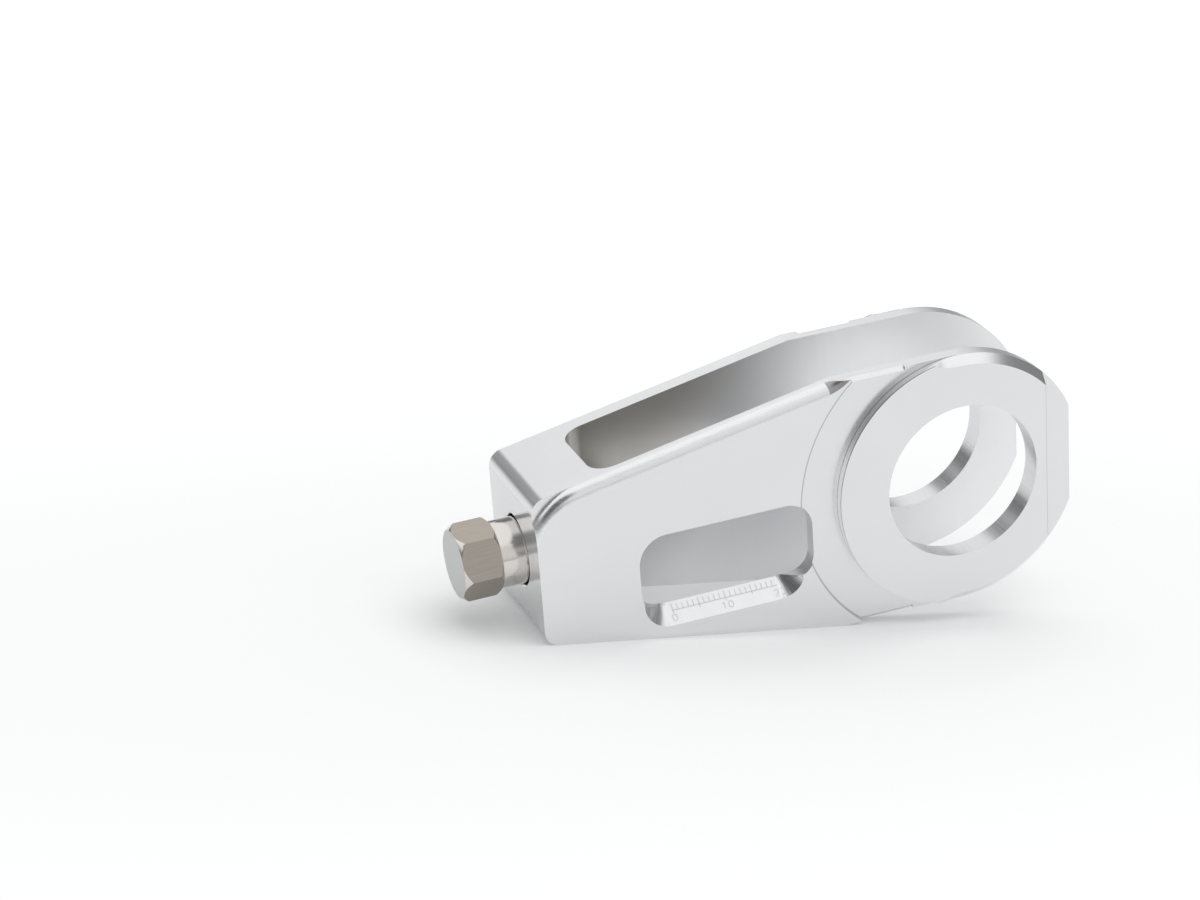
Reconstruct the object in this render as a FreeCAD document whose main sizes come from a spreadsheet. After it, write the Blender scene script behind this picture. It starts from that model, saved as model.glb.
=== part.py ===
import FreeCAD, Part
import math
import os

import Sketcher

# Chain tensioner for a motorcycle swingarm, in millimetres.
# The fork lies as it rests on a table, on the lower edge of its tapered side.
# The origin is the centre of the axle bore, halfway between the two ring faces.
# Before the lean, X runs along the fork to the ring end, Y across the cheeks and Z up.
# The scale and the sight window are on the cheek at -Y.

# Driving dimensions: alias, value and what the value is.
DIMENSIONS = (
    ("axle_bore_diameter", 29.0, "bore for the wheel axle, through both cheeks"),
    ("tip_radius", 23.8, "round end about the axle, and half the height of the straight stretch"),
    ("tip_flat_offset", 21.9, "axle centre to the flat that ends the fork"),
    ("step_offset", 16.6, "axle centre to the straight step that cuts the ring boss off"),
    ("nose_offset", 79.6, "axle centre to the end face where the bolt enters"),
    ("nose_height", 26.5, "height of the fork at its end face"),
    ("taper_length", 56.4, "length along the axis over which the fork widens"),
    ("nose_corner_radius", 3.0, "rounding of the two corners of the nose, seen from the side"),
    ("ring_width", 26.6, "overall width, over the two ring faces"),
    ("ring_proud", 1.2, "how far a ring face stands above its cheek face"),
    ("recess_depth", 0.5, "depth of the round recess below the cheek face"),
    ("recess_radius", 30.8, "outer radius of the round recess about the axle"),
    ("slot_width", 18.0, "gap between the cheeks, which takes the swingarm end"),
    ("block_length", 12.3, "solid block between the end face and the slot"),
    ("slot_corner_radius", 4.0, "rounding of the two corners at the end of the slot"),
    ("ring_chamfer", 1.5, "chamfer on the ring face along the round end"),
    ("ring_chamfer_tool_radius", 10.7, "radius of that chamfer's conical cutter at the ring face"),
    ("ring_chamfer_overshoot", 0.5, "how far past the axle the cutter's middle stops"),
    ("recess_chamfer", 0.7, "chamfer on the upper and lower edge of the recess floor"),
    ("recess_chamfer_start", 20.2, "axle centre to the nose end of that chamfer"),
    ("recess_chamfer_length", 10.3, "length of that chamfer"),
    ("edge_rounding", 2.0, "rounding of the scale cheek's upper edge along the taper"),
    ("rounding_stop", 1.5, "start of the taper to where the rounding cutter's middle stops"),
    ("rounding_tool_radius", 6.35, "radius of the rounding cutter where it meets the top face"),
    ("rounding_turn_radius", 12.1, "radius of the rounding's path about the nose corner"),
    ("rounding_turn_angle", 12.0, "slope of the path's end from the upright"),
    ("rounding_end_offset", 2.3, "end face to the end of the rounding's path"),
    ("rounding_end_height", 2.2, "end of the rounding's path above the axis"),
    ("window_offset", 61.5, "axle centre to the far end of the sight window"),
    ("window_length", 32.8, "length of the sight window"),
    ("window_top", 2.6, "upper edge of the sight window above the axis"),
    ("window_height", 14.6, "height of the sight window"),
    ("window_top_radius", 5.2, "rounding of the upper corners of the window"),
    ("window_bottom_radius", 4.0, "rounding of the lower corners of the window"),
    ("scale_offset", 56.1, "axle centre to the start of the bevel that carries the scale"),
    ("scale_length", 20.6, "straight length of the bevel that carries the scale"),
    ("scale_drop", 10.3, "middle line of the bevel's cutter below the axis"),
    ("scale_tool_radius", 5.0, "radius of the bevel's conical cutter at the cheek face"),
    ("scale_bevel_angle", 45.0, "slope of the bevel that carries the scale"),
    ("counterbore_diameter", 12.8, "mouth in the end face that the collar of the bolt runs in"),
    ("counterbore_depth", 6.6, "depth of that mouth"),
    ("mouth_chamfer", 0.25, "broken edge of that mouth"),
    ("bolt_thread_diameter", 10.0, "threaded shank of the bolt, over the crests of its thread"),
    ("bolt_clearance", 0.05, "gap between the shank and its hole, on the radius"),
    ("collar_diameter", 12.0, "smooth collar of the bolt"),
    ("collar_length", 5.4, "length of the collar"),
    ("collar_chamfer", 0.3, "broken edge of the collar"),
    ("head_across_flats", 12.0, "hexagon head of the bolt, across flats"),
    ("head_length", 7.1, "length of the hexagon head"),
    ("head_chamfer_length", 1.2, "length of the cone that trims the corners at the head's end face"),
    ("head_face_diameter", 12.1, "flat end face of the head"),
    ("head_seat_chamfer_length", 0.8, "length of the cone that trims the corners at the head's seat"),
    ("head_seat_diameter", 12.2, "flat seat of the head"),
    ("head_turn", 7.3, "turn of the hexagon about its axis"),
    ("head_gap", 4.4, "end face of the fork to the seat of the head, as the bolt stands"),
    ("bolt_reach", 10.0, "how far the bolt stands into the slot"),
    ("bolt_tip_chamfer", 0.8, "chamfer on the free end of the bolt"),
    ("overrun", 1.0, "how far a cut runs past the surface it opens"),
)

# Angle by which the taper leaves the axis, and by which the fork therefore leans.
TAPER_ANGLE = "atan((Dims.tip_radius - Dims.nose_height / 2) / Dims.taper_length)"

# Where the middle of the rounding's cutter stops, set against the edge that it rounds.
ROUNDING_ACROSS = "Dims.nose_offset - Dims.taper_length + Dims.rounding_stop"
ROUNDING_UP = f"Dims.tip_radius - Dims.rounding_stop * tan({TAPER_ANGLE})"

HORIZONTAL_AXIS, VERTICAL_AXIS = range(-1, -3, -1)
START, END, CENTRE = range(1, 4)
FULL_TURN = 360
HALF_TURN = 180
SAME_PLACE = 0.01

size = {alias: value for alias, value, _ in DIMENSIONS}


def write_sheet(document):
    """Puts every driving dimension in the sheet, under its own alias."""
    sheet = document.addObject("Spreadsheet::Sheet", "Dims")
    for row, (alias, value, note) in enumerate(DIMENSIONS, start=1):
        sheet.set(f"A{row}", alias)
        sheet.set(f"B{row}", str(value))
        sheet.setAlias(f"B{row}", alias)
        sheet.set(f"C{row}", note)
    document.recompute()
    return sheet


def origin_feature(body, role):
    """The body's own origin plane or axis with this role."""
    return next(item for item in body.Origin.OriginFeatures if item.Role == role)


def new_sketch(body, name, role, offset=None):
    """A sketch on one of the body's origin planes, moved along its normal by an expression."""
    sketch = body.newObject("Sketcher::SketchObject", name)
    sketch.AttachmentSupport = [(origin_feature(body, role), "")]
    sketch.MapMode = "FlatFace"
    if offset:
        sketch.setExpression("AttachmentOffset.Base.z", offset)
    return sketch


def bind(sketch, constraint, expression):
    """Adds a constraint and ties its value to the sheet."""
    index = sketch.addConstraint(constraint)
    sketch.setExpression(f"Constraints[{index}]", expression)


def bind_radius(sketch, geometry, expression):
    """Ties the radius of a circle or an arc to the sheet."""
    bind(sketch, Sketcher.Constraint("Radius", geometry, sketch.Geometry[geometry].Radius), expression)


def draw_circle(sketch, radius, expression, construction=False):
    """A circle about the origin, with its radius tied to the sheet."""
    outline = Part.Circle(FreeCAD.Vector(), FreeCAD.Vector(0, 0, 1), radius)
    circle = sketch.addGeometry(outline, construction)
    sketch.addConstraint(Sketcher.Constraint("Coincident", circle, CENTRE, -1, 1))
    bind_radius(sketch, circle, expression)
    return circle


def place(sketch, geometry, point, across=None, up=None):
    """Fixes a point's distances from the origin; a leading minus puts it on the negative side."""
    for kind, axis, expression in (("DistanceX", VERTICAL_AXIS, across), ("DistanceY", HORIZONTAL_AXIS, up)):
        if expression is None:
            continue
        position = sketch.getPoint(geometry, point)
        distance = abs(position.x if kind == "DistanceX" else position.y)
        if expression == "0":
            sketch.addConstraint(Sketcher.Constraint("PointOnObject", geometry, point, axis))
        elif expression.startswith("-"):
            bind(sketch, Sketcher.Constraint(kind, geometry, point, -1, 1, distance), expression[1:])
        else:
            bind(sketch, Sketcher.Constraint(kind, -1, 1, geometry, point, distance), expression)


def draw_polygon(sketch, corners):
    """A closed outline of straight lines, each corner given as two numbers and two expressions."""
    points = [FreeCAD.Vector(across, up, 0) for across, up, _, _ in corners]
    lines = [sketch.addGeometry(Part.LineSegment(first, second), False)
             for first, second in zip(points, points[1:] + points[:1])]
    for line, following in zip(lines, lines[1:] + lines[:1]):
        sketch.addConstraint(Sketcher.Constraint("Coincident", line, END, following, START))
    for line, (_, _, across, up) in zip(lines, corners):
        place(sketch, line, START, across, up)


def draw_rounding_cut(sketch, edge, outer):
    """What a rounding takes off: the corner outside a quarter circle. The edge is where the two
    faces would meet, the outer corner lies beyond both; each is two numbers and two expressions."""
    radius = size["edge_rounding"]
    middle = FreeCAD.Vector(edge[0] + radius, edge[1] - radius, 0)
    circle = Part.Circle(middle, FreeCAD.Vector(0, 0, 1), radius)
    arc = sketch.addGeometry(Part.ArcOfCircle(circle, math.pi / 2, math.pi), False)
    points = (middle - FreeCAD.Vector(radius, 0, 0), FreeCAD.Vector(outer[0], middle.y, 0),
              FreeCAD.Vector(outer[0], outer[1], 0), FreeCAD.Vector(middle.x, outer[1], 0),
              middle + FreeCAD.Vector(0, radius, 0))
    lines = [sketch.addGeometry(Part.LineSegment(first, second), False)
             for first, second in zip(points, points[1:])]
    loop = [arc] + lines
    for first, second in zip(loop, loop[1:] + loop[:1]):
        sketch.addConstraint(Sketcher.Constraint("Coincident", first, END, second, START))
    for line, direction in zip(lines, ("Horizontal", "Vertical", "Horizontal", "Vertical")):
        sketch.addConstraint(Sketcher.Constraint(direction, line))
    sketch.addConstraint(Sketcher.Constraint("Vertical", arc, START, arc, CENTRE))
    sketch.addConstraint(Sketcher.Constraint("Horizontal", arc, END, arc, CENTRE))
    bind_radius(sketch, arc, "Dims.edge_rounding")
    place(sketch, arc, END, across=edge[2])
    place(sketch, arc, START, up=edge[3])
    place(sketch, lines[1], END, across=outer[2], up=outer[3])


def draw_cutter_axis(sketch, height, expression):
    """A line for turning a profile about, level and at this height; returns its name."""
    ends = (FreeCAD.Vector(0, height, 0), FreeCAD.Vector(height, height, 0))
    line = sketch.addGeometry(Part.LineSegment(*ends), True)
    sketch.addConstraint(Sketcher.Constraint("Horizontal", line))
    sketch.addConstraint(Sketcher.Constraint("PointOnObject", line, START, VERTICAL_AXIS))
    place(sketch, line, END, across=expression, up=expression)
    return "Axis0"


def draw_rounded_box(sketch, left, right, bottom, top, radii):
    """A box with round corners; sides are pairs of number and expression, radii go round from the
    upper right corner anticlockwise."""
    corner_points = ((right, top), (left, top), (left, bottom), (right, bottom))
    inward = ((-1, -1), (1, -1), (1, 1), (-1, 1))
    quarter = math.pi / 2
    arcs = []
    corners = zip(corner_points, inward, radii)
    for number, ((side, level), (step_x, step_y), (radius, _)) in enumerate(corners):
        centre = FreeCAD.Vector(side[0] + step_x * radius, level[0] + step_y * radius, 0)
        circle = Part.Circle(centre, FreeCAD.Vector(0, 0, 1), radius)
        arc = Part.ArcOfCircle(circle, number * quarter, (number + 1) * quarter)
        arcs.append(sketch.addGeometry(arc, False))
    for number in range(4):
        start = sketch.Geometry[arcs[number]].EndPoint
        end = sketch.Geometry[arcs[(number + 1) % 4]].StartPoint
        line = sketch.addGeometry(Part.LineSegment(start, end), False)
        sketch.addConstraint(Sketcher.Constraint("Tangent", arcs[number], END, line, START))
        sketch.addConstraint(Sketcher.Constraint("Tangent", line, END, arcs[(number + 1) % 4], START))
        sketch.addConstraint(Sketcher.Constraint("Horizontal" if number % 2 == 0 else "Vertical", line))
    for arc, (_, expression) in zip(arcs, radii):
        bind_radius(sketch, arc, expression)
    place(sketch, arcs[0], START, across=right[1])
    place(sketch, arcs[0], END, up=top[1])
    place(sketch, arcs[2], START, across=left[1])
    place(sketch, arcs[2], END, up=bottom[1])


def finish_feature(body, feature, profile=None, **expressions):
    """Ties a feature's sizes to the sheet and rebuilds the document."""
    if profile is not None:
        feature.Profile = profile
    for name, expression in expressions.items():
        feature.setExpression(name, expression)
    body.Tip = feature
    body.Document.recompute()
    return feature


def edges_at(shape, across, up):
    """Names of the edges that run straight through at this place in the side view."""
    names = []
    for number, edge in enumerate(shape.Edges, start=1):
        points = [vertex.Point for vertex in edge.Vertexes]
        if all(math.hypot(point.x - across, point.z - up) < SAME_PLACE for point in points):
            names.append(f"Edge{number}")
    return names


def check_volume(before, feature, grows):
    """Stops if a feature left the solid as it was, or changed it the wrong way."""
    change = feature.Shape.Volume - before
    if (change <= 0) if grows else (change >= 0):
        raise RuntimeError(f"{feature.Name} did not change the solid as it should")


def add_blank(body):
    """The side outline of the fork, as wide as the two cheek faces are apart."""
    sketch = new_sketch(body, "OutlineSketch", "XZ_Plane")
    radius = size["tip_radius"]
    flat = size["tip_flat_offset"]
    flat_height = math.sqrt(radius ** 2 - flat ** 2)
    hip = size["nose_offset"] - size["taper_length"]
    nose = size["nose_offset"]
    half_nose = size["nose_height"] / 2
    points = ((flat, -flat_height), (flat, flat_height), (0, radius), (-hip, radius), (-nose, half_nose),
              (-nose, -half_nose), (-hip, -radius), (0, -radius))
    vectors = [FreeCAD.Vector(across, up, 0) for across, up in points]
    circle = Part.Circle(FreeCAD.Vector(0, 0, 0), FreeCAD.Vector(0, 0, 1), radius)
    end_angle = math.atan2(flat_height, flat)
    flat_edge = sketch.addGeometry(Part.LineSegment(vectors[0], vectors[1]), False)
    upper_arc = sketch.addGeometry(Part.ArcOfCircle(circle, end_angle, math.pi / 2), False)
    chain = [sketch.addGeometry(Part.LineSegment(vectors[index], vectors[index + 1]), False)
             for index in range(2, 7)]
    lower_arc = sketch.addGeometry(Part.ArcOfCircle(circle, -math.pi / 2, -end_angle), False)
    loop = [flat_edge, upper_arc] + chain + [lower_arc]
    for first, second in zip(loop, loop[1:] + loop[:1]):
        sketch.addConstraint(Sketcher.Constraint("Coincident", first, END, second, START))
    for arc in (upper_arc, lower_arc):
        sketch.addConstraint(Sketcher.Constraint("Coincident", arc, CENTRE, -1, 1))
    bind_radius(sketch, upper_arc, "Dims.tip_radius")
    sketch.addConstraint(Sketcher.Constraint("Vertical", flat_edge))
    place(sketch, flat_edge, START, across="Dims.tip_flat_offset")
    sketch.addConstraint(Sketcher.Constraint("PointOnObject", upper_arc, END, VERTICAL_AXIS))
    sketch.addConstraint(Sketcher.Constraint("PointOnObject", lower_arc, START, VERTICAL_AXIS))
    place(sketch, chain[0], END, across="-(Dims.nose_offset - Dims.taper_length)", up="Dims.tip_radius")
    place(sketch, chain[1], END, across="-Dims.nose_offset", up="Dims.nose_height / 2")
    place(sketch, chain[2], END, across="-Dims.nose_offset", up="-Dims.nose_height / 2")
    place(sketch, chain[3], END, across="-(Dims.nose_offset - Dims.taper_length)", up="-Dims.tip_radius")
    pad = body.newObject("PartDesign::Pad", "Blank")
    pad.Midplane = True
    finish_feature(body, pad, sketch, Length="Dims.ring_width - 2 * Dims.ring_proud")

    fillet = body.newObject("PartDesign::Fillet", "NoseCorners")
    corners = [name for level in (half_nose, -half_nose) for name in edges_at(pad.Shape, -nose, level)]
    fillet.Base = (pad, corners)
    finish_feature(body, fillet, Radius="Dims.nose_corner_radius")
    check_volume(pad.Shape.Volume, fillet, grows=False)


def add_recess(body):
    """The round recess in each cheek face, about the axle."""
    before = body.Tip.Shape.Volume
    sketch = new_sketch(body, "RecessSketch", "XZ_Plane", "Dims.ring_width / 2 - Dims.ring_proud")
    draw_circle(sketch, size["recess_radius"], "Dims.recess_radius")
    pocket = body.newObject("PartDesign::Pocket", "Recess")
    finish_feature(body, pocket, sketch, Length="Dims.recess_depth")
    check_volume(before, pocket, grows=False)
    mirror = body.newObject("PartDesign::Mirrored", "RecessPair")
    mirror.Originals = [pocket]
    mirror.MirrorPlane = (origin_feature(body, "XZ_Plane"), [""])
    finish_feature(body, mirror)
    check_volume(pocket.Shape.Volume, mirror, grows=False)


def add_ring_boss(body):
    """The raised ring about the axle on both cheeks, cut off straight at the step."""
    before = body.Tip.Shape.Volume
    sketch = new_sketch(body, "RingSketch", "XZ_Plane")
    radius = size["tip_radius"]
    step = size["step_offset"]
    angle = math.acos(step / radius)
    circle = Part.Circle(FreeCAD.Vector(), FreeCAD.Vector(0, 0, 1), radius)
    arc = sketch.addGeometry(Part.ArcOfCircle(circle, angle, 2 * math.pi - angle), False)
    ends = sketch.Geometry[arc]
    chord = sketch.addGeometry(Part.LineSegment(ends.EndPoint, ends.StartPoint), False)
    sketch.addConstraint(Sketcher.Constraint("Coincident", arc, END, chord, START))
    sketch.addConstraint(Sketcher.Constraint("Coincident", chord, END, arc, START))
    sketch.addConstraint(Sketcher.Constraint("Coincident", arc, CENTRE, -1, 1))
    sketch.addConstraint(Sketcher.Constraint("Vertical", chord))
    bind_radius(sketch, arc, "Dims.tip_radius")
    place(sketch, chord, START, across="Dims.step_offset")
    pad = body.newObject("PartDesign::Pad", "RingBoss")
    pad.Midplane = True
    finish_feature(body, pad, sketch, Length="Dims.ring_width")
    check_volume(before, pad, grows=True)


def add_slot(body):
    """The slot between the cheeks, open above, below and at the ring end."""
    before = body.Tip.Shape.Volume
    sketch = new_sketch(body, "SlotSketch", "XY_Plane")
    slot_end = size["nose_offset"] - size["block_length"]
    far = size["tip_flat_offset"] + size["slot_corner_radius"] + size["overrun"]
    half = size["slot_width"] / 2
    radius = (size["slot_corner_radius"], "Dims.slot_corner_radius")
    draw_rounded_box(
        sketch,
        left=(-slot_end, "-(Dims.nose_offset - Dims.block_length)"),
        right=(far, "Dims.tip_flat_offset + Dims.slot_corner_radius + Dims.overrun"),
        bottom=(-half, "-Dims.slot_width / 2"),
        top=(half, "Dims.slot_width / 2"),
        radii=(radius, radius, radius, radius))
    pocket = body.newObject("PartDesign::Pocket", "Slot")
    pocket.Midplane = True
    finish_feature(body, pocket, sketch, Length="2 * (Dims.tip_radius + Dims.overrun)")
    check_volume(before, pocket, grows=False)


def add_bore(body):
    """The axle bore, through both cheeks."""
    before = body.Tip.Shape.Volume
    sketch = new_sketch(body, "BoreSketch", "XZ_Plane")
    draw_circle(sketch, size["axle_bore_diameter"] / 2, "Dims.axle_bore_diameter / 2")
    pocket = body.newObject("PartDesign::Pocket", "AxleBore")
    pocket.Midplane = True
    finish_feature(body, pocket, sketch, Length="Dims.ring_width + 2 * Dims.overrun")
    check_volume(before, pocket, grows=False)


def add_window(body):
    """The sight window through the scale cheek, and the bevel under it that carries the scale."""
    before = body.Tip.Shape.Volume
    face = "Dims.ring_width / 2 - Dims.ring_proud"
    sketch = new_sketch(body, "WindowSketch", "XZ_Plane", face)
    left = -size["window_offset"]
    top = size["window_top"]
    top_radius = (size["window_top_radius"], "Dims.window_top_radius")
    bottom_radius = (size["window_bottom_radius"], "Dims.window_bottom_radius")
    draw_rounded_box(
        sketch,
        left=(left, "-Dims.window_offset"),
        right=(left + size["window_length"], "-(Dims.window_offset - Dims.window_length)"),
        bottom=(top - size["window_height"], "-(Dims.window_height - Dims.window_top)"),
        top=(top, "Dims.window_top"),
        radii=(top_radius, top_radius, bottom_radius, bottom_radius))
    window = body.newObject("PartDesign::Pocket", "Window")
    cheek = "Dims.ring_width / 2 - Dims.ring_proud - Dims.slot_width / 2"
    finish_feature(body, window, sketch, Length=f"{cheek} + Dims.overrun")
    check_volume(before, window, grows=False)

    sketch = new_sketch(body, "BevelSketch", "XZ_Plane", face)
    radius = size["scale_tool_radius"]
    middle = -size["scale_drop"]
    starts = (-size["scale_offset"], -size["scale_offset"] + size["scale_length"])
    quarter = math.pi / 2
    circles = [Part.Circle(FreeCAD.Vector(start, middle, 0), FreeCAD.Vector(0, 0, 1), radius)
               for start in starts]
    left_arc = sketch.addGeometry(Part.ArcOfCircle(circles[0], quarter, 3 * quarter), False)
    right_arc = sketch.addGeometry(Part.ArcOfCircle(circles[1], -quarter, quarter), False)
    lower = sketch.addGeometry(Part.LineSegment(FreeCAD.Vector(starts[0], middle - radius, 0),
                                                FreeCAD.Vector(starts[1], middle - radius, 0)), False)
    upper = sketch.addGeometry(Part.LineSegment(FreeCAD.Vector(starts[1], middle + radius, 0),
                                                FreeCAD.Vector(starts[0], middle + radius, 0)), False)
    loop = (left_arc, lower, right_arc, upper)
    for first, second in zip(loop, loop[1:] + loop[:1]):
        sketch.addConstraint(Sketcher.Constraint("Tangent", first, END, second, START))
    sketch.addConstraint(Sketcher.Constraint("Horizontal", lower))
    bind_radius(sketch, left_arc, "Dims.scale_tool_radius")
    place(sketch, left_arc, CENTRE, across="-Dims.scale_offset", up="-Dims.scale_drop")
    place(sketch, right_arc, CENTRE, across="-(Dims.scale_offset - Dims.scale_length)")
    bevel = body.newObject("PartDesign::Pocket", "ScaleBevel")
    bevel.setExpression("TaperAngle", "-Dims.scale_bevel_angle")
    finish_feature(body, bevel, sketch, Length=cheek)
    check_volume(window.Shape.Volume, bevel, grows=False)


def add_bolt_hole(body):
    """The bolt's hole along the axis, with the mouth that its collar runs in."""
    before = body.Tip.Shape.Volume
    sketch = new_sketch(body, "BoltHoleSketch", "XZ_Plane")
    nose = size["nose_offset"]
    mouth = size["counterbore_diameter"] / 2
    chamfer = size["mouth_chamfer"]
    shank = size["bolt_thread_diameter"] / 2 + size["bolt_clearance"]
    outside = -(nose + size["overrun"])
    floor = -(nose - size["counterbore_depth"])
    inside = -(nose - size["block_length"] - size["overrun"])
    outside_text = "-(Dims.nose_offset + Dims.overrun)"
    floor_text = "-(Dims.nose_offset - Dims.counterbore_depth)"
    inside_text = "-(Dims.nose_offset - Dims.block_length - Dims.overrun)"
    shank_text = "Dims.bolt_thread_diameter / 2 + Dims.bolt_clearance"
    mouth_text = "Dims.counterbore_diameter / 2"
    draw_polygon(sketch, (
        (outside, 0, outside_text, "0"),
        (inside, 0, inside_text, "0"),
        (inside, shank, inside_text, shank_text),
        (floor, shank, floor_text, shank_text),
        (floor, mouth, floor_text, mouth_text),
        (-(nose - chamfer), mouth, "-(Dims.nose_offset - Dims.mouth_chamfer)", mouth_text),
        (outside, mouth + chamfer + size["overrun"], outside_text,
         f"{mouth_text} + Dims.mouth_chamfer + Dims.overrun")))
    groove = body.newObject("PartDesign::Groove", "BoltHole")
    groove.Profile = sketch
    groove.ReferenceAxis = (sketch, ["H_Axis"])
    groove.Angle = FULL_TURN
    finish_feature(body, groove)
    check_volume(before, groove, grows=False)


def add_ring_chamfer(body):
    """The chamfer on each ring face along the round end."""
    before = body.Tip.Shape.Volume
    sketch = new_sketch(body, "RingChamferSketch", "YZ_Plane")
    face = size["ring_width"] / 2
    radius = size["tip_radius"]
    chamfer = size["ring_chamfer"]
    over = size["overrun"]
    outside = "-(Dims.ring_width / 2 + Dims.overrun)"
    above = "Dims.tip_radius + Dims.overrun"
    below = "Dims.tip_radius - Dims.ring_chamfer - Dims.overrun"
    draw_polygon(sketch, (
        (-face - over, radius - chamfer - over, outside, below),
        (-face - over, radius + over, outside, above),
        (-face + chamfer + over, radius + over, "-(Dims.ring_width / 2 - Dims.ring_chamfer - Dims.overrun)",
         above)))
    groove = body.newObject("PartDesign::Groove", "RingChamfer")
    groove.Profile = sketch
    groove.ReferenceAxis = (sketch, ["H_Axis"])
    groove.Angle = HALF_TURN
    finish_feature(body, groove)
    check_volume(before, groove, grows=False)
    mirror = body.newObject("PartDesign::Mirrored", "RingChamferPair")
    mirror.Originals = [groove]
    mirror.MirrorPlane = (origin_feature(body, "XZ_Plane"), [""])
    finish_feature(body, mirror)
    check_volume(groove.Shape.Volume, mirror, grows=False)


def add_ring_chamfer_ends(body):
    """Where the cutter of the ring chamfer runs out at the top and at the bottom, on both cheeks."""
    before = body.Tip.Shape.Volume
    sketch = new_sketch(body, "RingChamferEndSketch", "YZ_Plane", "-Dims.ring_chamfer_overshoot")
    face = size["ring_width"] / 2
    chamfer = size["ring_chamfer"]
    over = size["overrun"]
    ring = size["tip_radius"] - chamfer
    height = ring + size["ring_chamfer_tool_radius"]
    height_text = "Dims.tip_radius - Dims.ring_chamfer + Dims.ring_chamfer_tool_radius"
    axis = draw_cutter_axis(sketch, height, height_text)
    outside = "Dims.ring_width / 2 + Dims.overrun"
    inside = "Dims.ring_width / 2 - Dims.ring_chamfer - Dims.overrun"
    low = "Dims.tip_radius - Dims.ring_chamfer - Dims.overrun"
    high = "Dims.tip_radius + Dims.overrun"
    for side, sign in ((-1, "-"), (1, "")):
        draw_polygon(sketch, (
            (side * (face + over), height, f"{sign}({outside})", height_text),
            (side * (face + over), ring - over, f"{sign}({outside})", low),
            (side * (face - chamfer - over), ring + chamfer + over, f"{sign}({inside})", high),
            (side * (face - chamfer - over), height, f"{sign}({inside})", height_text)))
    groove = body.newObject("PartDesign::Groove", "RingChamferEnd")
    groove.Profile = sketch
    groove.ReferenceAxis = (sketch, [axis])
    groove.Angle = FULL_TURN
    finish_feature(body, groove)
    check_volume(before, groove, grows=False)
    mirror = body.newObject("PartDesign::Mirrored", "RingChamferEnds")
    mirror.Originals = [groove]
    mirror.MirrorPlane = (origin_feature(body, "XY_Plane"), [""])
    finish_feature(body, mirror)
    check_volume(groove.Shape.Volume, mirror, grows=False)


def add_recess_chamfer(body):
    """The thin chamfer between the recess floor and the top and bottom faces, on both cheeks."""
    before = body.Tip.Shape.Volume
    sketch = new_sketch(body, "RecessChamferSketch", "YZ_Plane", "-Dims.recess_chamfer_start")
    floor = size["ring_width"] / 2 - size["ring_proud"] - size["recess_depth"]
    radius = size["tip_radius"]
    chamfer = size["recess_chamfer"]
    over = size["overrun"]
    floor_text = "Dims.ring_width / 2 - Dims.ring_proud - Dims.recess_depth"
    outside = f"{floor_text} + Dims.overrun"
    inside = f"{floor_text} - Dims.recess_chamfer - Dims.overrun"
    low = "Dims.tip_radius - Dims.recess_chamfer - Dims.overrun"
    high = "Dims.tip_radius + Dims.overrun"
    for side, sign in ((-1, "-"), (1, "")):
        draw_polygon(sketch, (
            (side * (floor + over), radius - chamfer - over, f"{sign}({outside})", low),
            (side * (floor + over), radius + over, f"{sign}({outside})", high),
            (side * (floor - chamfer - over), radius + over, f"{sign}({inside})", high)))
    pocket = body.newObject("PartDesign::Pocket", "RecessChamfer")
    pocket.Reversed = True
    finish_feature(body, pocket, sketch, Length="Dims.recess_chamfer_length")
    check_volume(before, pocket, grows=False)
    mirror = body.newObject("PartDesign::Mirrored", "RecessChamfers")
    mirror.Originals = [pocket]
    mirror.MirrorPlane = (origin_feature(body, "XY_Plane"), [""])
    finish_feature(body, mirror)
    check_volume(pocket.Shape.Volume, mirror, grows=False)


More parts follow.
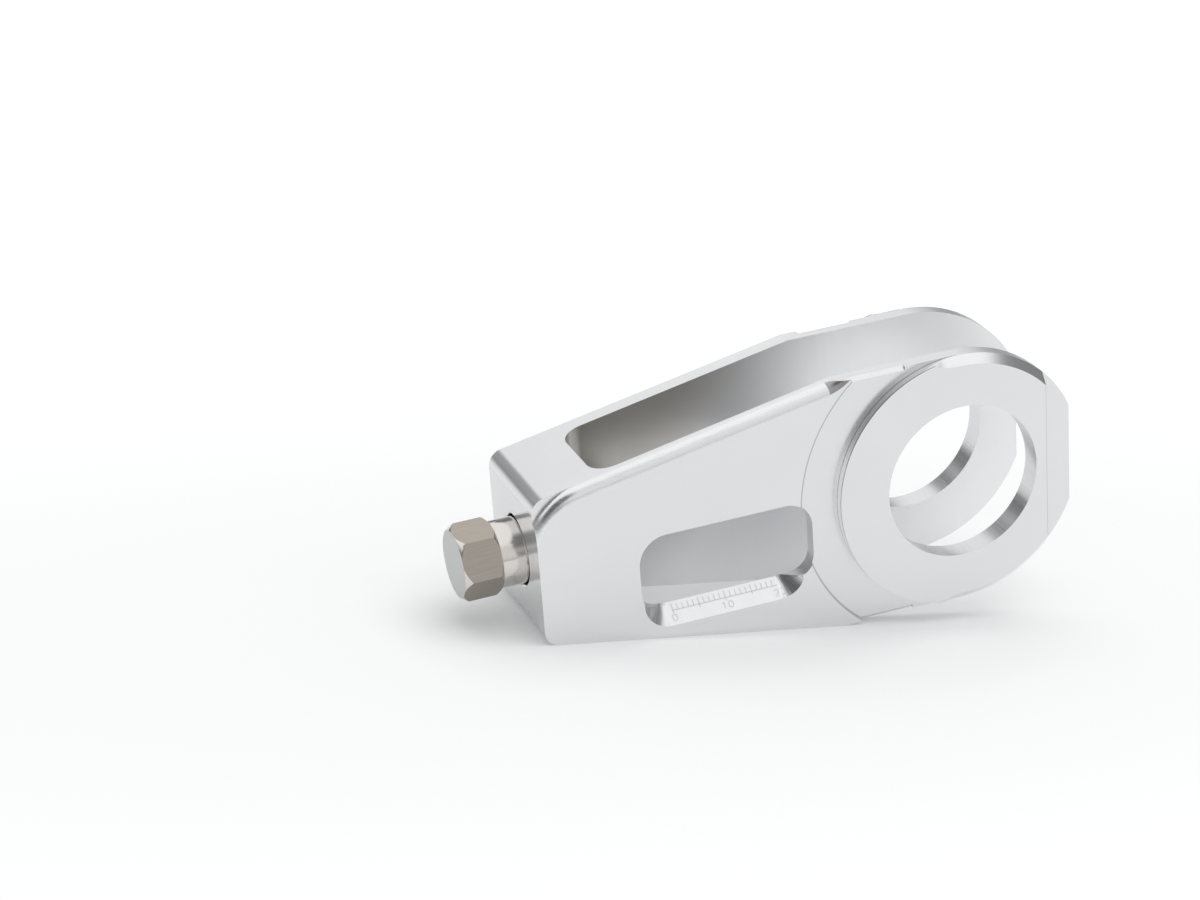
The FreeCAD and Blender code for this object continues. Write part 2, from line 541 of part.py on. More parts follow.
def draw_rounding_path(body, lean_angle):
    """The path of the rounding: along the taper, about the nose corner and out past the end face."""
    sketch = new_sketch(body, "RoundingPath", "XZ_Plane", "Dims.ring_width / 2 - Dims.ring_proud")
    radius = size["rounding_turn_radius"]
    slope = math.radians(size["rounding_turn_angle"])
    hip = size["nose_offset"] - size["taper_length"]
    across = -(hip + size["rounding_stop"])
    up = size["tip_radius"] - size["rounding_stop"] * math.tan(lean_angle)
    start = FreeCAD.Vector(across, up, 0)
    end = FreeCAD.Vector(-(size["nose_offset"] + size["rounding_end_offset"]),
                         size["rounding_end_height"], 0)
    top_normal = FreeCAD.Vector(-math.sin(lean_angle), math.cos(lean_angle), 0)
    end_normal = FreeCAD.Vector(-math.cos(slope), math.sin(slope), 0)
    top_distance = top_normal.dot(start) - radius
    end_distance = end_normal.dot(end) - radius
    spread = top_normal.x * end_normal.y - top_normal.y * end_normal.x
    middle = FreeCAD.Vector((top_distance * end_normal.y - end_distance * top_normal.y) / spread,
                            (top_normal.x * end_distance - end_normal.x * top_distance) / spread, 0)
    circle = Part.Circle(middle, FreeCAD.Vector(0, 0, 1), radius)
    turn_start = math.atan2(top_normal.y, top_normal.x)
    turn_end = math.atan2(end_normal.y, end_normal.x)
    along = sketch.addGeometry(Part.LineSegment(start, middle + top_normal * radius), False)
    turn = sketch.addGeometry(Part.ArcOfCircle(circle, turn_start, turn_end), False)
    out = sketch.addGeometry(Part.LineSegment(middle + end_normal * radius, end), False)
    sketch.addConstraint(Sketcher.Constraint("Tangent", along, END, turn, START))
    sketch.addConstraint(Sketcher.Constraint("Tangent", turn, END, out, START))
    bind_radius(sketch, turn, "Dims.rounding_turn_radius")
    bind(sketch, Sketcher.Constraint("Angle", along, lean_angle - math.pi), f"{TAPER_ANGLE} - 180 deg")
    bind(sketch, Sketcher.Constraint("Angle", out, -slope - math.pi / 2), "-Dims.rounding_turn_angle - 90")
    place(sketch, along, START, across=f"-({ROUNDING_ACROSS})", up=ROUNDING_UP)
    place(sketch, out, END, across="-(Dims.nose_offset + Dims.rounding_end_offset)",
          up="Dims.rounding_end_height")
    return sketch


def add_edge_rounding(body):
    """The rounding of the scale cheek's upper edge, with the cutter's run-out at the ring end."""
    before = body.Tip.Shape.Volume
    lean_angle = math.atan((size["tip_radius"] - size["nose_height"] / 2) / size["taper_length"])
    face = size["ring_width"] / 2 - size["ring_proud"]
    radius = size["edge_rounding"]
    over = size["overrun"]
    path = draw_rounding_path(body, lean_angle)

    sketch = new_sketch(body, "RoundingSketch", "YZ_Plane", f"-({ROUNDING_ACROSS})")
    turn = FreeCAD.Rotation(FreeCAD.Vector(-1, 0, 0), math.degrees(lean_angle))
    sketch.AttachmentOffset = FreeCAD.Placement(sketch.AttachmentOffset.Base, turn)
    sketch.setExpression("AttachmentOffset.Rotation.Angle", TAPER_ANGLE)
    sketch.setExpression("AttachmentOffset.Base.x", "-(Dims.ring_width / 2 - Dims.ring_proud)")
    sketch.setExpression("AttachmentOffset.Base.y", ROUNDING_UP)
    draw_rounding_cut(sketch, (0, 0, "0", "0"), (-over, 2 * radius, "-Dims.overrun",
                                                 "2 * Dims.edge_rounding"))
    pipe = body.newObject("PartDesign::SubtractivePipe", "EdgeRounding")
    pipe.Profile = sketch
    pipe.Spine = path
    finish_feature(body, pipe)
    check_volume(before, pipe, grows=False)

    tool = size["rounding_tool_radius"]
    hip = size["nose_offset"] - size["taper_length"]
    up = size["tip_radius"] - size["rounding_stop"] * math.tan(lean_angle) + tool * math.cos(lean_angle)
    up_text = f"{ROUNDING_UP} + Dims.rounding_tool_radius * cos({TAPER_ANGLE})"
    face_text = "Dims.ring_width / 2 - Dims.ring_proud"
    sketch = new_sketch(body, "RoundingEndSketch", "YZ_Plane",
                        f"-({ROUNDING_ACROSS} + Dims.rounding_tool_radius * sin({TAPER_ANGLE}))")
    axis = draw_cutter_axis(sketch, up, up_text)
    edge_text = f"{up_text} - Dims.rounding_tool_radius"
    draw_rounding_cut(sketch, (-face, up - tool, f"-({face_text})", edge_text),
                      (-face - over, up, f"-({face_text} + Dims.overrun)", up_text))
    groove = body.newObject("PartDesign::Groove", "EdgeRoundingEnd")
    groove.Profile = sketch
    groove.ReferenceAxis = (sketch, [axis])
    groove.Angle = FULL_TURN
    finish_feature(body, groove)
    check_volume(pipe.Shape.Volume, groove, grows=False)


def build_fork(document):
    """The fork, milled from one piece."""
    body = document.addObject("PartDesign::Body", "Fork")
    body.Label = "tensioner_fork"
    add_blank(body)
    add_recess(body)
    add_ring_boss(body)
    add_slot(body)
    add_bore(body)
    add_window(body)
    add_bolt_hole(body)
    add_ring_chamfer(body)
    add_ring_chamfer_ends(body)
    add_recess_chamfer(body)
    add_edge_rounding(body)
    return body


def build_bolt(document):
    """The adjuster bolt: hexagon head, smooth collar and threaded shank, turned from one bar."""
    body = document.addObject("PartDesign::Body", "Bolt")
    body.Label = "adjuster_bolt"
    sketch = new_sketch(body, "TurnedSketch", "XZ_Plane")
    seat = -(size["nose_offset"] + size["head_gap"])
    end = seat - size["head_length"]
    sixth = math.radians(FULL_TURN) / 6
    corner = size["head_across_flats"] / (2 * math.cos(sixth / 2))
    collar = size["collar_diameter"] / 2
    crest = size["bolt_thread_diameter"] / 2
    collar_end = seat + size["collar_length"]
    tip = -(size["nose_offset"] - size["block_length"] - size["bolt_reach"])
    break_edge = size["collar_chamfer"]
    tip_chamfer = size["bolt_tip_chamfer"]
    seat_text = "Dims.nose_offset + Dims.head_gap"
    tip_text = "Dims.nose_offset - Dims.block_length - Dims.bolt_reach"
    corner_text = "Dims.head_across_flats / (2 * cos(30 deg))"
    crest_text = "Dims.bolt_thread_diameter / 2"
    draw_polygon(sketch, (
        (end, 0, f"-({seat_text} + Dims.head_length)", "0"),
        (tip, 0, f"-({tip_text})", "0"),
        (tip, crest - tip_chamfer, f"-({tip_text})", f"{crest_text} - Dims.bolt_tip_chamfer"),
        (tip - tip_chamfer, crest, f"-({tip_text} + Dims.bolt_tip_chamfer)", crest_text),
        (collar_end, crest, f"-({seat_text} - Dims.collar_length)", crest_text),
        (collar_end, collar - break_edge, f"-({seat_text} - Dims.collar_length)",
         "Dims.collar_diameter / 2 - Dims.collar_chamfer"),
        (collar_end - break_edge, collar, f"-({seat_text} - Dims.collar_length + Dims.collar_chamfer)",
         "Dims.collar_diameter / 2"),
        (seat, collar, f"-({seat_text})", "Dims.collar_diameter / 2"),
        (seat, size["head_seat_diameter"] / 2, f"-({seat_text})", "Dims.head_seat_diameter / 2"),
        (seat - size["head_seat_chamfer_length"], corner,
         f"-({seat_text} + Dims.head_seat_chamfer_length)", corner_text),
        (end + size["head_chamfer_length"], corner,
         f"-({seat_text} + Dims.head_length - Dims.head_chamfer_length)", corner_text),
        (end, size["head_face_diameter"] / 2, f"-({seat_text} + Dims.head_length)",
         "Dims.head_face_diameter / 2")))
    turned = body.newObject("PartDesign::Revolution", "Turned")
    turned.Profile = sketch
    turned.ReferenceAxis = (sketch, ["H_Axis"])
    turned.Angle = FULL_TURN
    finish_feature(body, turned)

    sketch = new_sketch(body, "HexagonSketch", "YZ_Plane", f"-({seat_text})")
    draw_circle(sketch, corner + size["overrun"], f"{corner_text} + Dims.overrun")
    guide = draw_circle(sketch, corner, corner_text, construction=True)
    turn = math.radians(size["head_turn"])
    points = [FreeCAD.Vector(corner * math.cos(turn + number * sixth),
                             corner * math.sin(turn + number * sixth), 0) for number in range(6)]
    sides = [sketch.addGeometry(Part.LineSegment(first, second), False)
             for first, second in zip(points, points[1:] + points[:1])]
    for side, following in zip(sides, sides[1:] + sides[:1]):
        sketch.addConstraint(Sketcher.Constraint("Coincident", side, END, following, START))
        sketch.addConstraint(Sketcher.Constraint("PointOnObject", side, START, guide))
    for side in sides[1:]:
        sketch.addConstraint(Sketcher.Constraint("Equal", sides[0], side))
    bind(sketch, Sketcher.Constraint("Angle", sides[0], turn + 2 * sixth), "Dims.head_turn + 120")
    milled = body.newObject("PartDesign::Pocket", "Hexagon")
    finish_feature(body, milled, sketch, Length="Dims.head_length + Dims.overrun")
    check_volume(turned.Shape.Volume, milled, grows=False)
    return body


def lean(subpart):
    """Tips a sub-part about the axle, so that the fork rests on its lower tapered edge."""
    subpart.Placement = FreeCAD.Placement(FreeCAD.Vector(), FreeCAD.Rotation(FreeCAD.Vector(0, -1, 0), 1))
    subpart.setExpression("Placement.Rotation.Angle", TAPER_ANGLE)


def check_document(document, subparts):
    """Stops if any object failed or any sub-part has no valid solid."""
    for item in document.Objects:
        if {"Invalid", "Error"} & set(item.State):
            raise RuntimeError(f"{item.Name} failed: {item.State}")
    for subpart in subparts:
        shape = subpart.Shape
        if shape.isNull() or not shape.isValid() or len(shape.Solids) != 1:
            raise RuntimeError(f"{subpart.Label} is not one valid solid")


def main():
    """Builds the document and writes each sub-part to its own file."""
    document = FreeCAD.newDocument("ChainTensioner")
    write_sheet(document)
    subparts = [build_fork(document), build_bolt(document)]
    for subpart in subparts:
        lean(subpart)
    document.recompute()
    check_document(document, subparts)
    os.makedirs("parts", exist_ok=True)
    for subpart in subparts:
        subpart.Shape.exportStep(f"parts/{subpart.Label}.step")
        print(subpart.Label, round(subpart.Shape.Volume, 1))


main()
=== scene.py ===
"""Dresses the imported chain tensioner: milled fork, engraved scale and adjuster bolt, in a pale studio."""

import logging
import math
from dataclasses import dataclass, field
from enum import Enum

import bmesh
import bpy
from mathutils import Matrix, Vector


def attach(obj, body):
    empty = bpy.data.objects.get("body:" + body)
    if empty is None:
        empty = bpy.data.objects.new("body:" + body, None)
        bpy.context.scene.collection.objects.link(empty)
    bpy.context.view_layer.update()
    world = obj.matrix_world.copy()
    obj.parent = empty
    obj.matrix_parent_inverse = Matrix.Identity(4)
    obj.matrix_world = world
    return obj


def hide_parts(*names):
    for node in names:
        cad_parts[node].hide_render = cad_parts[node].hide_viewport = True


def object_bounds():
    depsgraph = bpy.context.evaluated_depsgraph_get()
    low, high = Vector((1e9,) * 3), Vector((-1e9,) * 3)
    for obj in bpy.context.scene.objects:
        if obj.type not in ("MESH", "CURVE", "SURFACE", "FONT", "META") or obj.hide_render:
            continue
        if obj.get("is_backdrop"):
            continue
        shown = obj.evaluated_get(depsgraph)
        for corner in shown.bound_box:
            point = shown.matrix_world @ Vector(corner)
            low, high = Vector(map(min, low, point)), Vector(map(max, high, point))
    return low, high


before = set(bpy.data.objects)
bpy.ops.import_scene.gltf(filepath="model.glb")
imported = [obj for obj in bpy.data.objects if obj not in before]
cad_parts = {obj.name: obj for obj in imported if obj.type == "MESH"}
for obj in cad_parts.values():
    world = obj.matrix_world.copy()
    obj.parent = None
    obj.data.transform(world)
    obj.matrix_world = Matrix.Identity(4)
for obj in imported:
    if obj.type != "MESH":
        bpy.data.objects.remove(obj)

logging.basicConfig(level=logging.INFO, format="%(message)s")
LOG = logging.getLogger("tensioner")

Socket = bpy.types.NodeSocket
Material = bpy.types.Material
Piece = bpy.types.Object
Pair = tuple[float, float]
Triple = tuple[float, float, float]

MM = 0.001
JOIN_WIDTH = 1e-6  # corners nearer to each other than this, in metres, are one
CUT_WIDTH = 1e-7  # corners nearer to a cut than this, in metres, lie in it
FLAT_ANGLE = math.radians(0.4)  # faces turned by less than this are one flat face
SMOOTH_ANGLE = 0.6  # edges turned by more than this, in radians, stay sharp
FACE_WEIGHT = 80  # how much a large face outweighs a small one in their shading
FACING = 0.98  # a face looks along an axis if its normal's part there is above this
ALONG = 0.1  # a face runs along an axis if that part is below this
LEVEL = 0.05  # the same, where the faces beside it are nearly level too
NOISE_SPAN = (0.3, 0.7)  # where most of a noise's values are
WINDOW_CONES = ((-56.1, -10.3), (-35.5, -10.3))  # the axes of the bevel's two ends, in millimetres
FORK_NODE = "tensioner_fork"
BOLT_NODE = "adjuster_bolt"


class Surface(Enum):
    """How a face of the fork was cut, which decides the marks that it carries."""

    FACED = "faced"
    SLOT = "slot"
    WALL = "wall"
    NOSE = "nose"
    RING_WALL = "ring_wall"
    BORE = "bore"
    RING_CHAMFER = "ring_chamfer"
    SCALE_BEVEL = "scale_bevel"
    BEVEL_START = "bevel_start"
    BEVEL_END = "bevel_end"
    ROUNDING = "rounding"
    RUN_OUT = "run_out"


class BoltSurface(Enum):
    """How a face of the bolt was made."""

    END = "end"
    HEXAGON = "hexagon"
    TURNED = "turned"


class Nodes:
    """A node tree that is filled from the left, one node after another."""

    def __init__(self, tree: bpy.types.NodeTree) -> None:
        """Starts with an empty tree."""
        self.tree = tree
        tree.nodes.clear()

    def add(self, kind: str, inputs: dict | None = None, **settings: object) -> bpy.types.Node:
        """Adds a node.

        Args:
            kind: the node's type, without ShaderNode where it starts with that.
            inputs: input name or index to a value, or to a socket that it is linked from.
            settings: properties of the node.

        Returns:
            The new node.
        """
        node = self.tree.nodes.new(kind if kind.startswith("GeometryNode") else f"ShaderNode{kind}")
        for name, value in settings.items():
            setattr(node, name, value)
        for key, value in (inputs or {}).items():
            if isinstance(value, Socket):
                self.tree.links.new(value, node.inputs[key])
            else:
                node.inputs[key].default_value = value
        return node

    def math(self, operation: str, first: object, second: object = 0.0) -> Socket:
        """One arithmetic step; each operand is a number or a socket."""
        return self.add("Math", {0: first, 1: second}, operation=operation).outputs[0]

    def point(self, x: object = 0.0, y: object = 0.0, z: object = 0.0) -> Socket:
        """Three numbers or sockets as one vector."""
        return self.add("CombineXYZ", {0: x, 1: y, 2: z}).outputs[0]


class Shading(Nodes):
    """A tree of shader nodes, for a material or the surround."""

    def axes(self, point: Socket) -> list[Socket]:
        """The three numbers of a vector."""
        return list(self.add("SeparateXYZ", {0: point}).outputs)

    def length(self, point: Socket) -> Socket:
        """The length of a vector."""
        return self.add("VectorMath", {0: point}, operation="LENGTH").outputs["Value"]

    def blend(self, factor: object, first: object, second: object) -> Socket:
        """The first number where the factor is 0 and the second where it is 1."""
        return self.add("Mix", {0: factor, 2: first, 3: second}, data_type="FLOAT").outputs[0]

    def ramp(self, value: Socket, start: Pair, end: Pair, kind: str = "SMOOTHSTEP") -> Socket:
        """Maps a value between two points, each given as where and how much."""
        inputs = {0: value, 1: start[0], 2: end[0], 3: start[1], 4: end[1]}
        return self.add("MapRange", inputs, interpolation_type=kind).outputs[0]


class Sheet(Shading):
    """The node tree of a new material."""

    def __init__(self, name: str) -> None:
        """Starts an empty material.

        Args:
            name: the material's name.
        """
        self.material = bpy.data.materials.new(name)
        self.material.use_nodes = True
        super().__init__(self.material.node_tree)

    def position(self, turn: float = 0.0, centre: Pair = (0.0, 0.0)) -> Socket:
        """The surface point in metres, in the fork's own axes.

        Args:
            turn: how far the fork leans, in radians.
            centre: a point in the side view, in millimetres, that becomes the origin.

        Returns:
            The socket with the point.
        """
        point = self.add("TexCoord").outputs["Object"]
        shift = (-centre[0] * MM, 0.0, -centre[1] * MM)
        mapping = self.add("Mapping", {"Vector": point, "Rotation": (0.0, turn, 0.0), "Location": shift},
                           vector_type="POINT")
        return mapping.outputs[0]

    def stretched(self, point: Socket, scale: Triple) -> Socket:
        """The point scaled on each axis, so that a noise read there is drawn out along the small one."""
        return self.add("VectorMath", {0: point, 1: scale}, operation="MULTIPLY").outputs[0]

    def noise(self, point: Socket, scale: float, detail: float = 3.0) -> Socket:
        """Noise between 0 and 1, about one half."""
        return self.add("TexNoise", {"Vector": point, "Scale": scale, "Detail": detail}).outputs["Fac"]

    def grain(self, point: Socket) -> Socket:
        """The fine noise of tool marks, at a point that is already scaled to them."""
        return self.noise(point, 1.0, 4.0)

    def between(self, value: Socket, low: float, high: float) -> Socket:
        """Maps a noise's usual range to two values."""
        return self.ramp(value, (NOISE_SPAN[0], low), (NOISE_SPAN[1], high), "LINEAR")

    def blend_colours(self, factor: Socket, first: object, second: object) -> Socket:
        """The first colour where the factor is 0 and the second where it is 1."""
        return self.add("Mix", {0: factor, 6: first, 7: second}, data_type="RGBA").outputs[2]

    def tint(self, colour: Triple, value: Socket, depth: float) -> Socket:
        """A colour that a noise makes a little lighter and darker.

        Args:
            colour: the mean colour.
            value: the noise.
            depth: the change at the noise's ends, as a share of the colour.

        Returns:
            The socket with the colour.
        """
        dark = tuple(part * (1 - depth) for part in colour) + (1.0,)
        light = tuple(min(part * (1 + depth), 1.0) for part in colour) + (1.0,)
        return self.blend_colours(self.between(value, 0.0, 1.0), dark, light)

    def dimmed(self, colour: Socket, factor: Socket) -> Socket:
        """The colour times a factor between 0 and 1."""
        return self.add("VectorMath", {0: colour, "Scale": factor}, operation="SCALE").outputs[0]

    def finish(self, colour: Socket, roughness: Socket, height: Socket, depth: float,
               metallic: float) -> Material:
        """Joins the nodes to the surface shader.

        Args:
            colour: the base colour.
            roughness: the roughness.
            height: the height of the fine marks, from 0 to 1.
            depth: the depth of those marks, in metres.
            metallic: 1 for bare metal, and less for a satin one.

        Returns:
            The finished material.
        """
        bump = self.add("Bump", {"Height": height, "Distance": depth, "Strength": 1.0})
        shader = self.add("BsdfPrincipled", {"Base Color": colour, "Roughness": roughness,
                                             "Normal": bump.outputs[0], "Metallic": metallic})
        self.add("OutputMaterial", {"Surface": shader.outputs[0]})
        return self.material


@dataclass(frozen=True, kw_only=True)
class Finish:
    """A metal surface with the fine marks that a tool left on it.

    The marks' depth is in metres, and turn is how far they lean, in radians. Mottle is the share by
    which the colour wanders: in clouds, so many to the metre, or with the marks where it is in streaks.
    """

    name: str
    colour: Triple
    roughness: Pair
    depth: float
    turn: float = 0.0
    cloud: float = 60.0
    mottle: float = 0.012
    metallic: float = 1.0
    streaks: bool = False
    centre: Pair = (0.0, 0.0)

    def shade(self, sheet: Sheet, point: Socket, colour: Socket) -> Socket:
        """The colour with its painted shade; an even surface has none."""
        return colour

    def marks(self, sheet: Sheet, point: Socket) -> Socket:
        """The height of the marks at a point; each way of cutting gives its own."""
        raise NotImplementedError

    def build(self) -> Material:
        """The material, with its marks in the fork's own axes.

        Returns:
            The finished material.
        """
        sheet = Sheet(self.name)
        point = sheet.position(self.turn, self.centre)
        marks = self.marks(sheet, point)
        spread = marks if self.streaks else sheet.noise(point, self.cloud, 2.0)
        colour = self.shade(sheet, point, sheet.tint(self.colour, spread, self.mottle))
        return sheet.finish(colour, sheet.between(marks, *self.roughness), marks, self.depth, self.metallic)


@dataclass(frozen=True, kw_only=True)
class StraightMarks(Finish):
    """Marks that run one way; the scale is in marks per metre along each of the fork's axes."""

    scale: Triple

    def marks(self, sheet: Sheet, point: Socket) -> Socket:
        """Noise drawn out along the axes with the small scale."""
        return sheet.grain(sheet.stretched(point, self.scale))


@dataclass(frozen=True, kw_only=True)
class EdgedFace(StraightMarks):
    """A milled face with painted shade lines where its level changes, along a straight and a round step.

    The straight one's place, the round one's radius and the lines' half width are in millimetres;
    line is the share of the colour that is left in them.
    """

    step: float
    circle: float
    width: float = 0.12
    line: float = 0.64

    def shade(self, sheet: Sheet, point: Socket, colour: Socket) -> Socket:
        """Paints thin lines of shade into the colour along the two steps.

        Args:
            sheet: the material's tree.
            point: the point, in metres.
            colour: the even colour.

        Returns:
            The shaded colour.
        """
        axes = sheet.axes(point)
        radius = sheet.length(sheet.point(x=axes[0], z=axes[2]))
        for value, place in ((axes[0], self.step), (radius, self.circle)):
            gap = sheet.math("ABSOLUTE", sheet.math("SUBTRACT", value, place * MM))
            left = sheet.ramp(gap, (self.width * MM, self.line), (2 * self.width * MM, 1.0), "LINEAR")
            colour = sheet.dimmed(colour, left)
        return colour


@dataclass(frozen=True, kw_only=True)
class StepWall(StraightMarks):
    """The wall of a raised round step, with painted shade at its foot, along its edge and towards its top.

    Each place is where the shade starts and where it ends, in millimetres: across the fork for the
    foot and the edge, and up it for the top. Left is the share of the colour in each.
    """

    foot: Pair
    edge: Pair
    top: Pair
    foot_left: float = 0.3
    edge_left: float = 0.4
    top_left: float = 0.8

    def shade(self, sheet: Sheet, point: Socket, colour: Socket) -> Socket:
        """Paints shade into the colour in those three places.

        Args:
            sheet: the material's tree.
            point: the point, in metres.
            colour: the even colour.

        Returns:
            The shaded colour.
        """
        axes = sheet.axes(point)
        across = sheet.math("ABSOLUTE", axes[1])
        for value, span, start, end in ((across, self.foot, self.foot_left, 1.0),
                                        (across, self.edge, 1.0, self.edge_left),
                                        (axes[2], self.top, 1.0, self.top_left)):
            left = sheet.ramp(value, (span[0] * MM, start), (span[1] * MM, end))
            colour = sheet.dimmed(colour, left)
        return colour


@dataclass(frozen=True, kw_only=True)
class DulledFace(StraightMarks):
    """A face with painted shade at its inner end, and the more so the higher up.

    The two ends are places along the fork in millimetres; slant moves them along with the height.
    """

    inner: float
    outer: float
    slant: float
    dullest: Triple

    def shade(self, sheet: Sheet, point: Socket, colour: Socket) -> Socket:
        """Blends the colour from the painted shade's colour.

        Args:
            sheet: the material's tree.
            point: the point, in metres.
            colour: the even colour.

        Returns:
            The shaded colour.
        """
        axes = sheet.axes(point)
        along = sheet.math("SUBTRACT", axes[0], sheet.math("MULTIPLY", axes[2], self.slant))
        factor = sheet.ramp(along, (self.inner * MM, 0.0), (self.outer * MM, 1.0))
        return sheet.blend_colours(factor, (*self.dullest, 1.0), colour)


@dataclass(frozen=True, kw_only=True)
class FannedMarks(Finish):
    """Marks that fan out from an axis along Y, as a conical cutter leaves them."""

    per_turn: float

    def marks(self, sheet: Sheet, point: Socket) -> Socket:
        """Noise that changes with the angle alone.

        Args:
            sheet: the material's tree.
            point: the point, in metres.

        Returns:
            The height of the marks.
        """
        axes = sheet.axes(point)
        angle = sheet.math("ARCTAN2", axes[2], axes[0])
        return sheet.grain(sheet.point(sheet.math("MULTIPLY", angle, self.per_turn / math.tau)))


@dataclass(frozen=True, kw_only=True)
class TurnedMarks(Finish):
    """Marks that run round the bolt, as a lathe leaves them; so many per metre."""

    per_metre: float

    def marks(self, sheet: Sheet, point: Socket) -> Socket:
        """Noise that changes along the bolt and outward from its axis.

        Args:
            sheet: the material's tree.
            point: the point, in metres.

        Returns:
            The height of the marks.
        """
        axes = sheet.axes(point)
        radius = sheet.length(sheet.point(y=axes[1], z=axes[2]))
        line = sheet.math("ADD", axes[0], radius)
        return sheet.grain(sheet.point(sheet.math("MULTIPLY", line, self.per_metre)))


@dataclass(frozen=True, kw_only=True)
class PittedFloor(Finish):
    """The dull floor of a shallow engraved line, with so many pits per metre."""

    per_metre: float

    def marks(self, sheet: Sheet, point: Socket) -> Socket:
        """Fine even noise."""
        return sheet.noise(point, self.per_metre)


@dataclass(frozen=True)
class Lean:
    """How the fork lies: its centre line is tipped about the axle until the lower taper is level."""

    tip_radius: float = 23.8
    nose_height: float = 26.5
    taper_length: float = 56.4

    @property
    def angle(self) -> float:
        """The lean, in radians."""
        return math.atan((self.tip_radius - self.nose_height / 2) / self.taper_length)

    @property
    def to_row(self) -> Matrix:
        """From the fork's own axes, in metres, to the row's."""
        return Matrix.Rotation(-self.angle, 4, "Y")


def merged_copy(node: str, lean: Lean) -> bmesh.types.BMesh:
    """A CAD node's faces as one joined mesh, in the fork's own axes.

    Args:
        node: the node's name.
        lean: how the fork lies.

    Returns:
        A mesh in metres, with its flat faces joined.
    """
    mesh = bmesh.new()
    mesh.from_mesh(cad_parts[node].data)
    bmesh.ops.remove_doubles(mesh, verts=mesh.verts, dist=2 * JOIN_WIDTH)
    mesh.transform(lean.to_row.inverted())
    bmesh.ops.dissolve_limit(mesh, angle_limit=FLAT_ANGLE, verts=mesh.verts, edges=mesh.edges)
    bmesh.ops.recalc_face_normals(mesh, faces=mesh.faces)
    return mesh


def break_edges(mesh: bmesh.types.BMesh, width: float, sharper_than: float) -> None:
    """Gives the mesh's sharp edges the small round that a finished part has.

    Args:
        mesh: the mesh to change.
        width: the round's width, in metres.
        sharper_than: edges turned by more than this, in radians, are rounded.
    """
    sharp = [edge for edge in mesh.edges
             if len(edge.link_faces) == 2 and edge.calc_face_angle(0.0) > sharper_than]
    bmesh.ops.bevel(mesh, geom=sharp, offset=width, offset_type="OFFSET", segments=2, profile=0.5,
                    affect="EDGES", clamp_overlap=True, material=-1)
    bmesh.ops.remove_doubles(mesh, verts=mesh.verts, dist=JOIN_WIDTH)


def in_scene(name: str, data: bpy.types.ID) -> Piece:
    """Makes an object of some data and puts it in the scene.

    Args:
        name: the object's name.
        data: its mesh, lamp or camera.

    Returns:
        The new object.
    """
    made = bpy.data.objects.new(name, data)
    bpy.context.scene.collection.objects.link(made)
    return made


def plain_mesh(thing: Piece) -> bpy.types.Mesh:
    """The mesh that an object's modifiers make of it."""
    graph = bpy.context.evaluated_depsgraph_get()
    return bpy.data.meshes.new_from_object(thing.evaluated_get(graph))


def new_piece(name: str, mesh: bmesh.types.BMesh, materials: list[Material], place: Matrix,
              smooth_angle: float = SMOOTH_ANGLE) -> Piece:
    """Makes an object of a mesh, at the origin, with its place in its vertices.

    Args:
        name: the object's name.
        mesh: the mesh, which is used up.
        materials: its materials, in the order of the faces' indices.
        place: moves the vertices to the row's axes.
        smooth_angle: edges turned by more than this stay sharp, in radians.

    Returns:
        The new object.
    """
    mesh.transform(place)
    for face in mesh.faces:
        face.smooth = True
    for edge in mesh.edges:
        edge.smooth = len(edge.link_faces) == 2 and edge.calc_face_angle(0.0) < smooth_angle
    data = bpy.data.meshes.new(name)
    mesh.to_mesh(data)
    mesh.free()
    for material in materials:
        data.materials.append(material)
    return in_scene(name, data)


def weigh_normals(piece: Piece) -> None:
    """Keeps flat faces flat beside their rounded edges.

    Args:
        piece: the piece to change.
    """
    modifier = piece.modifiers.new("Weigh", "WEIGHTED_NORMAL")
    modifier.keep_sharp = True
    modifier.weight = FACE_WEIGHT
    plain = plain_mesh(piece)
    piece.modifiers.clear()
    piece.data = plain


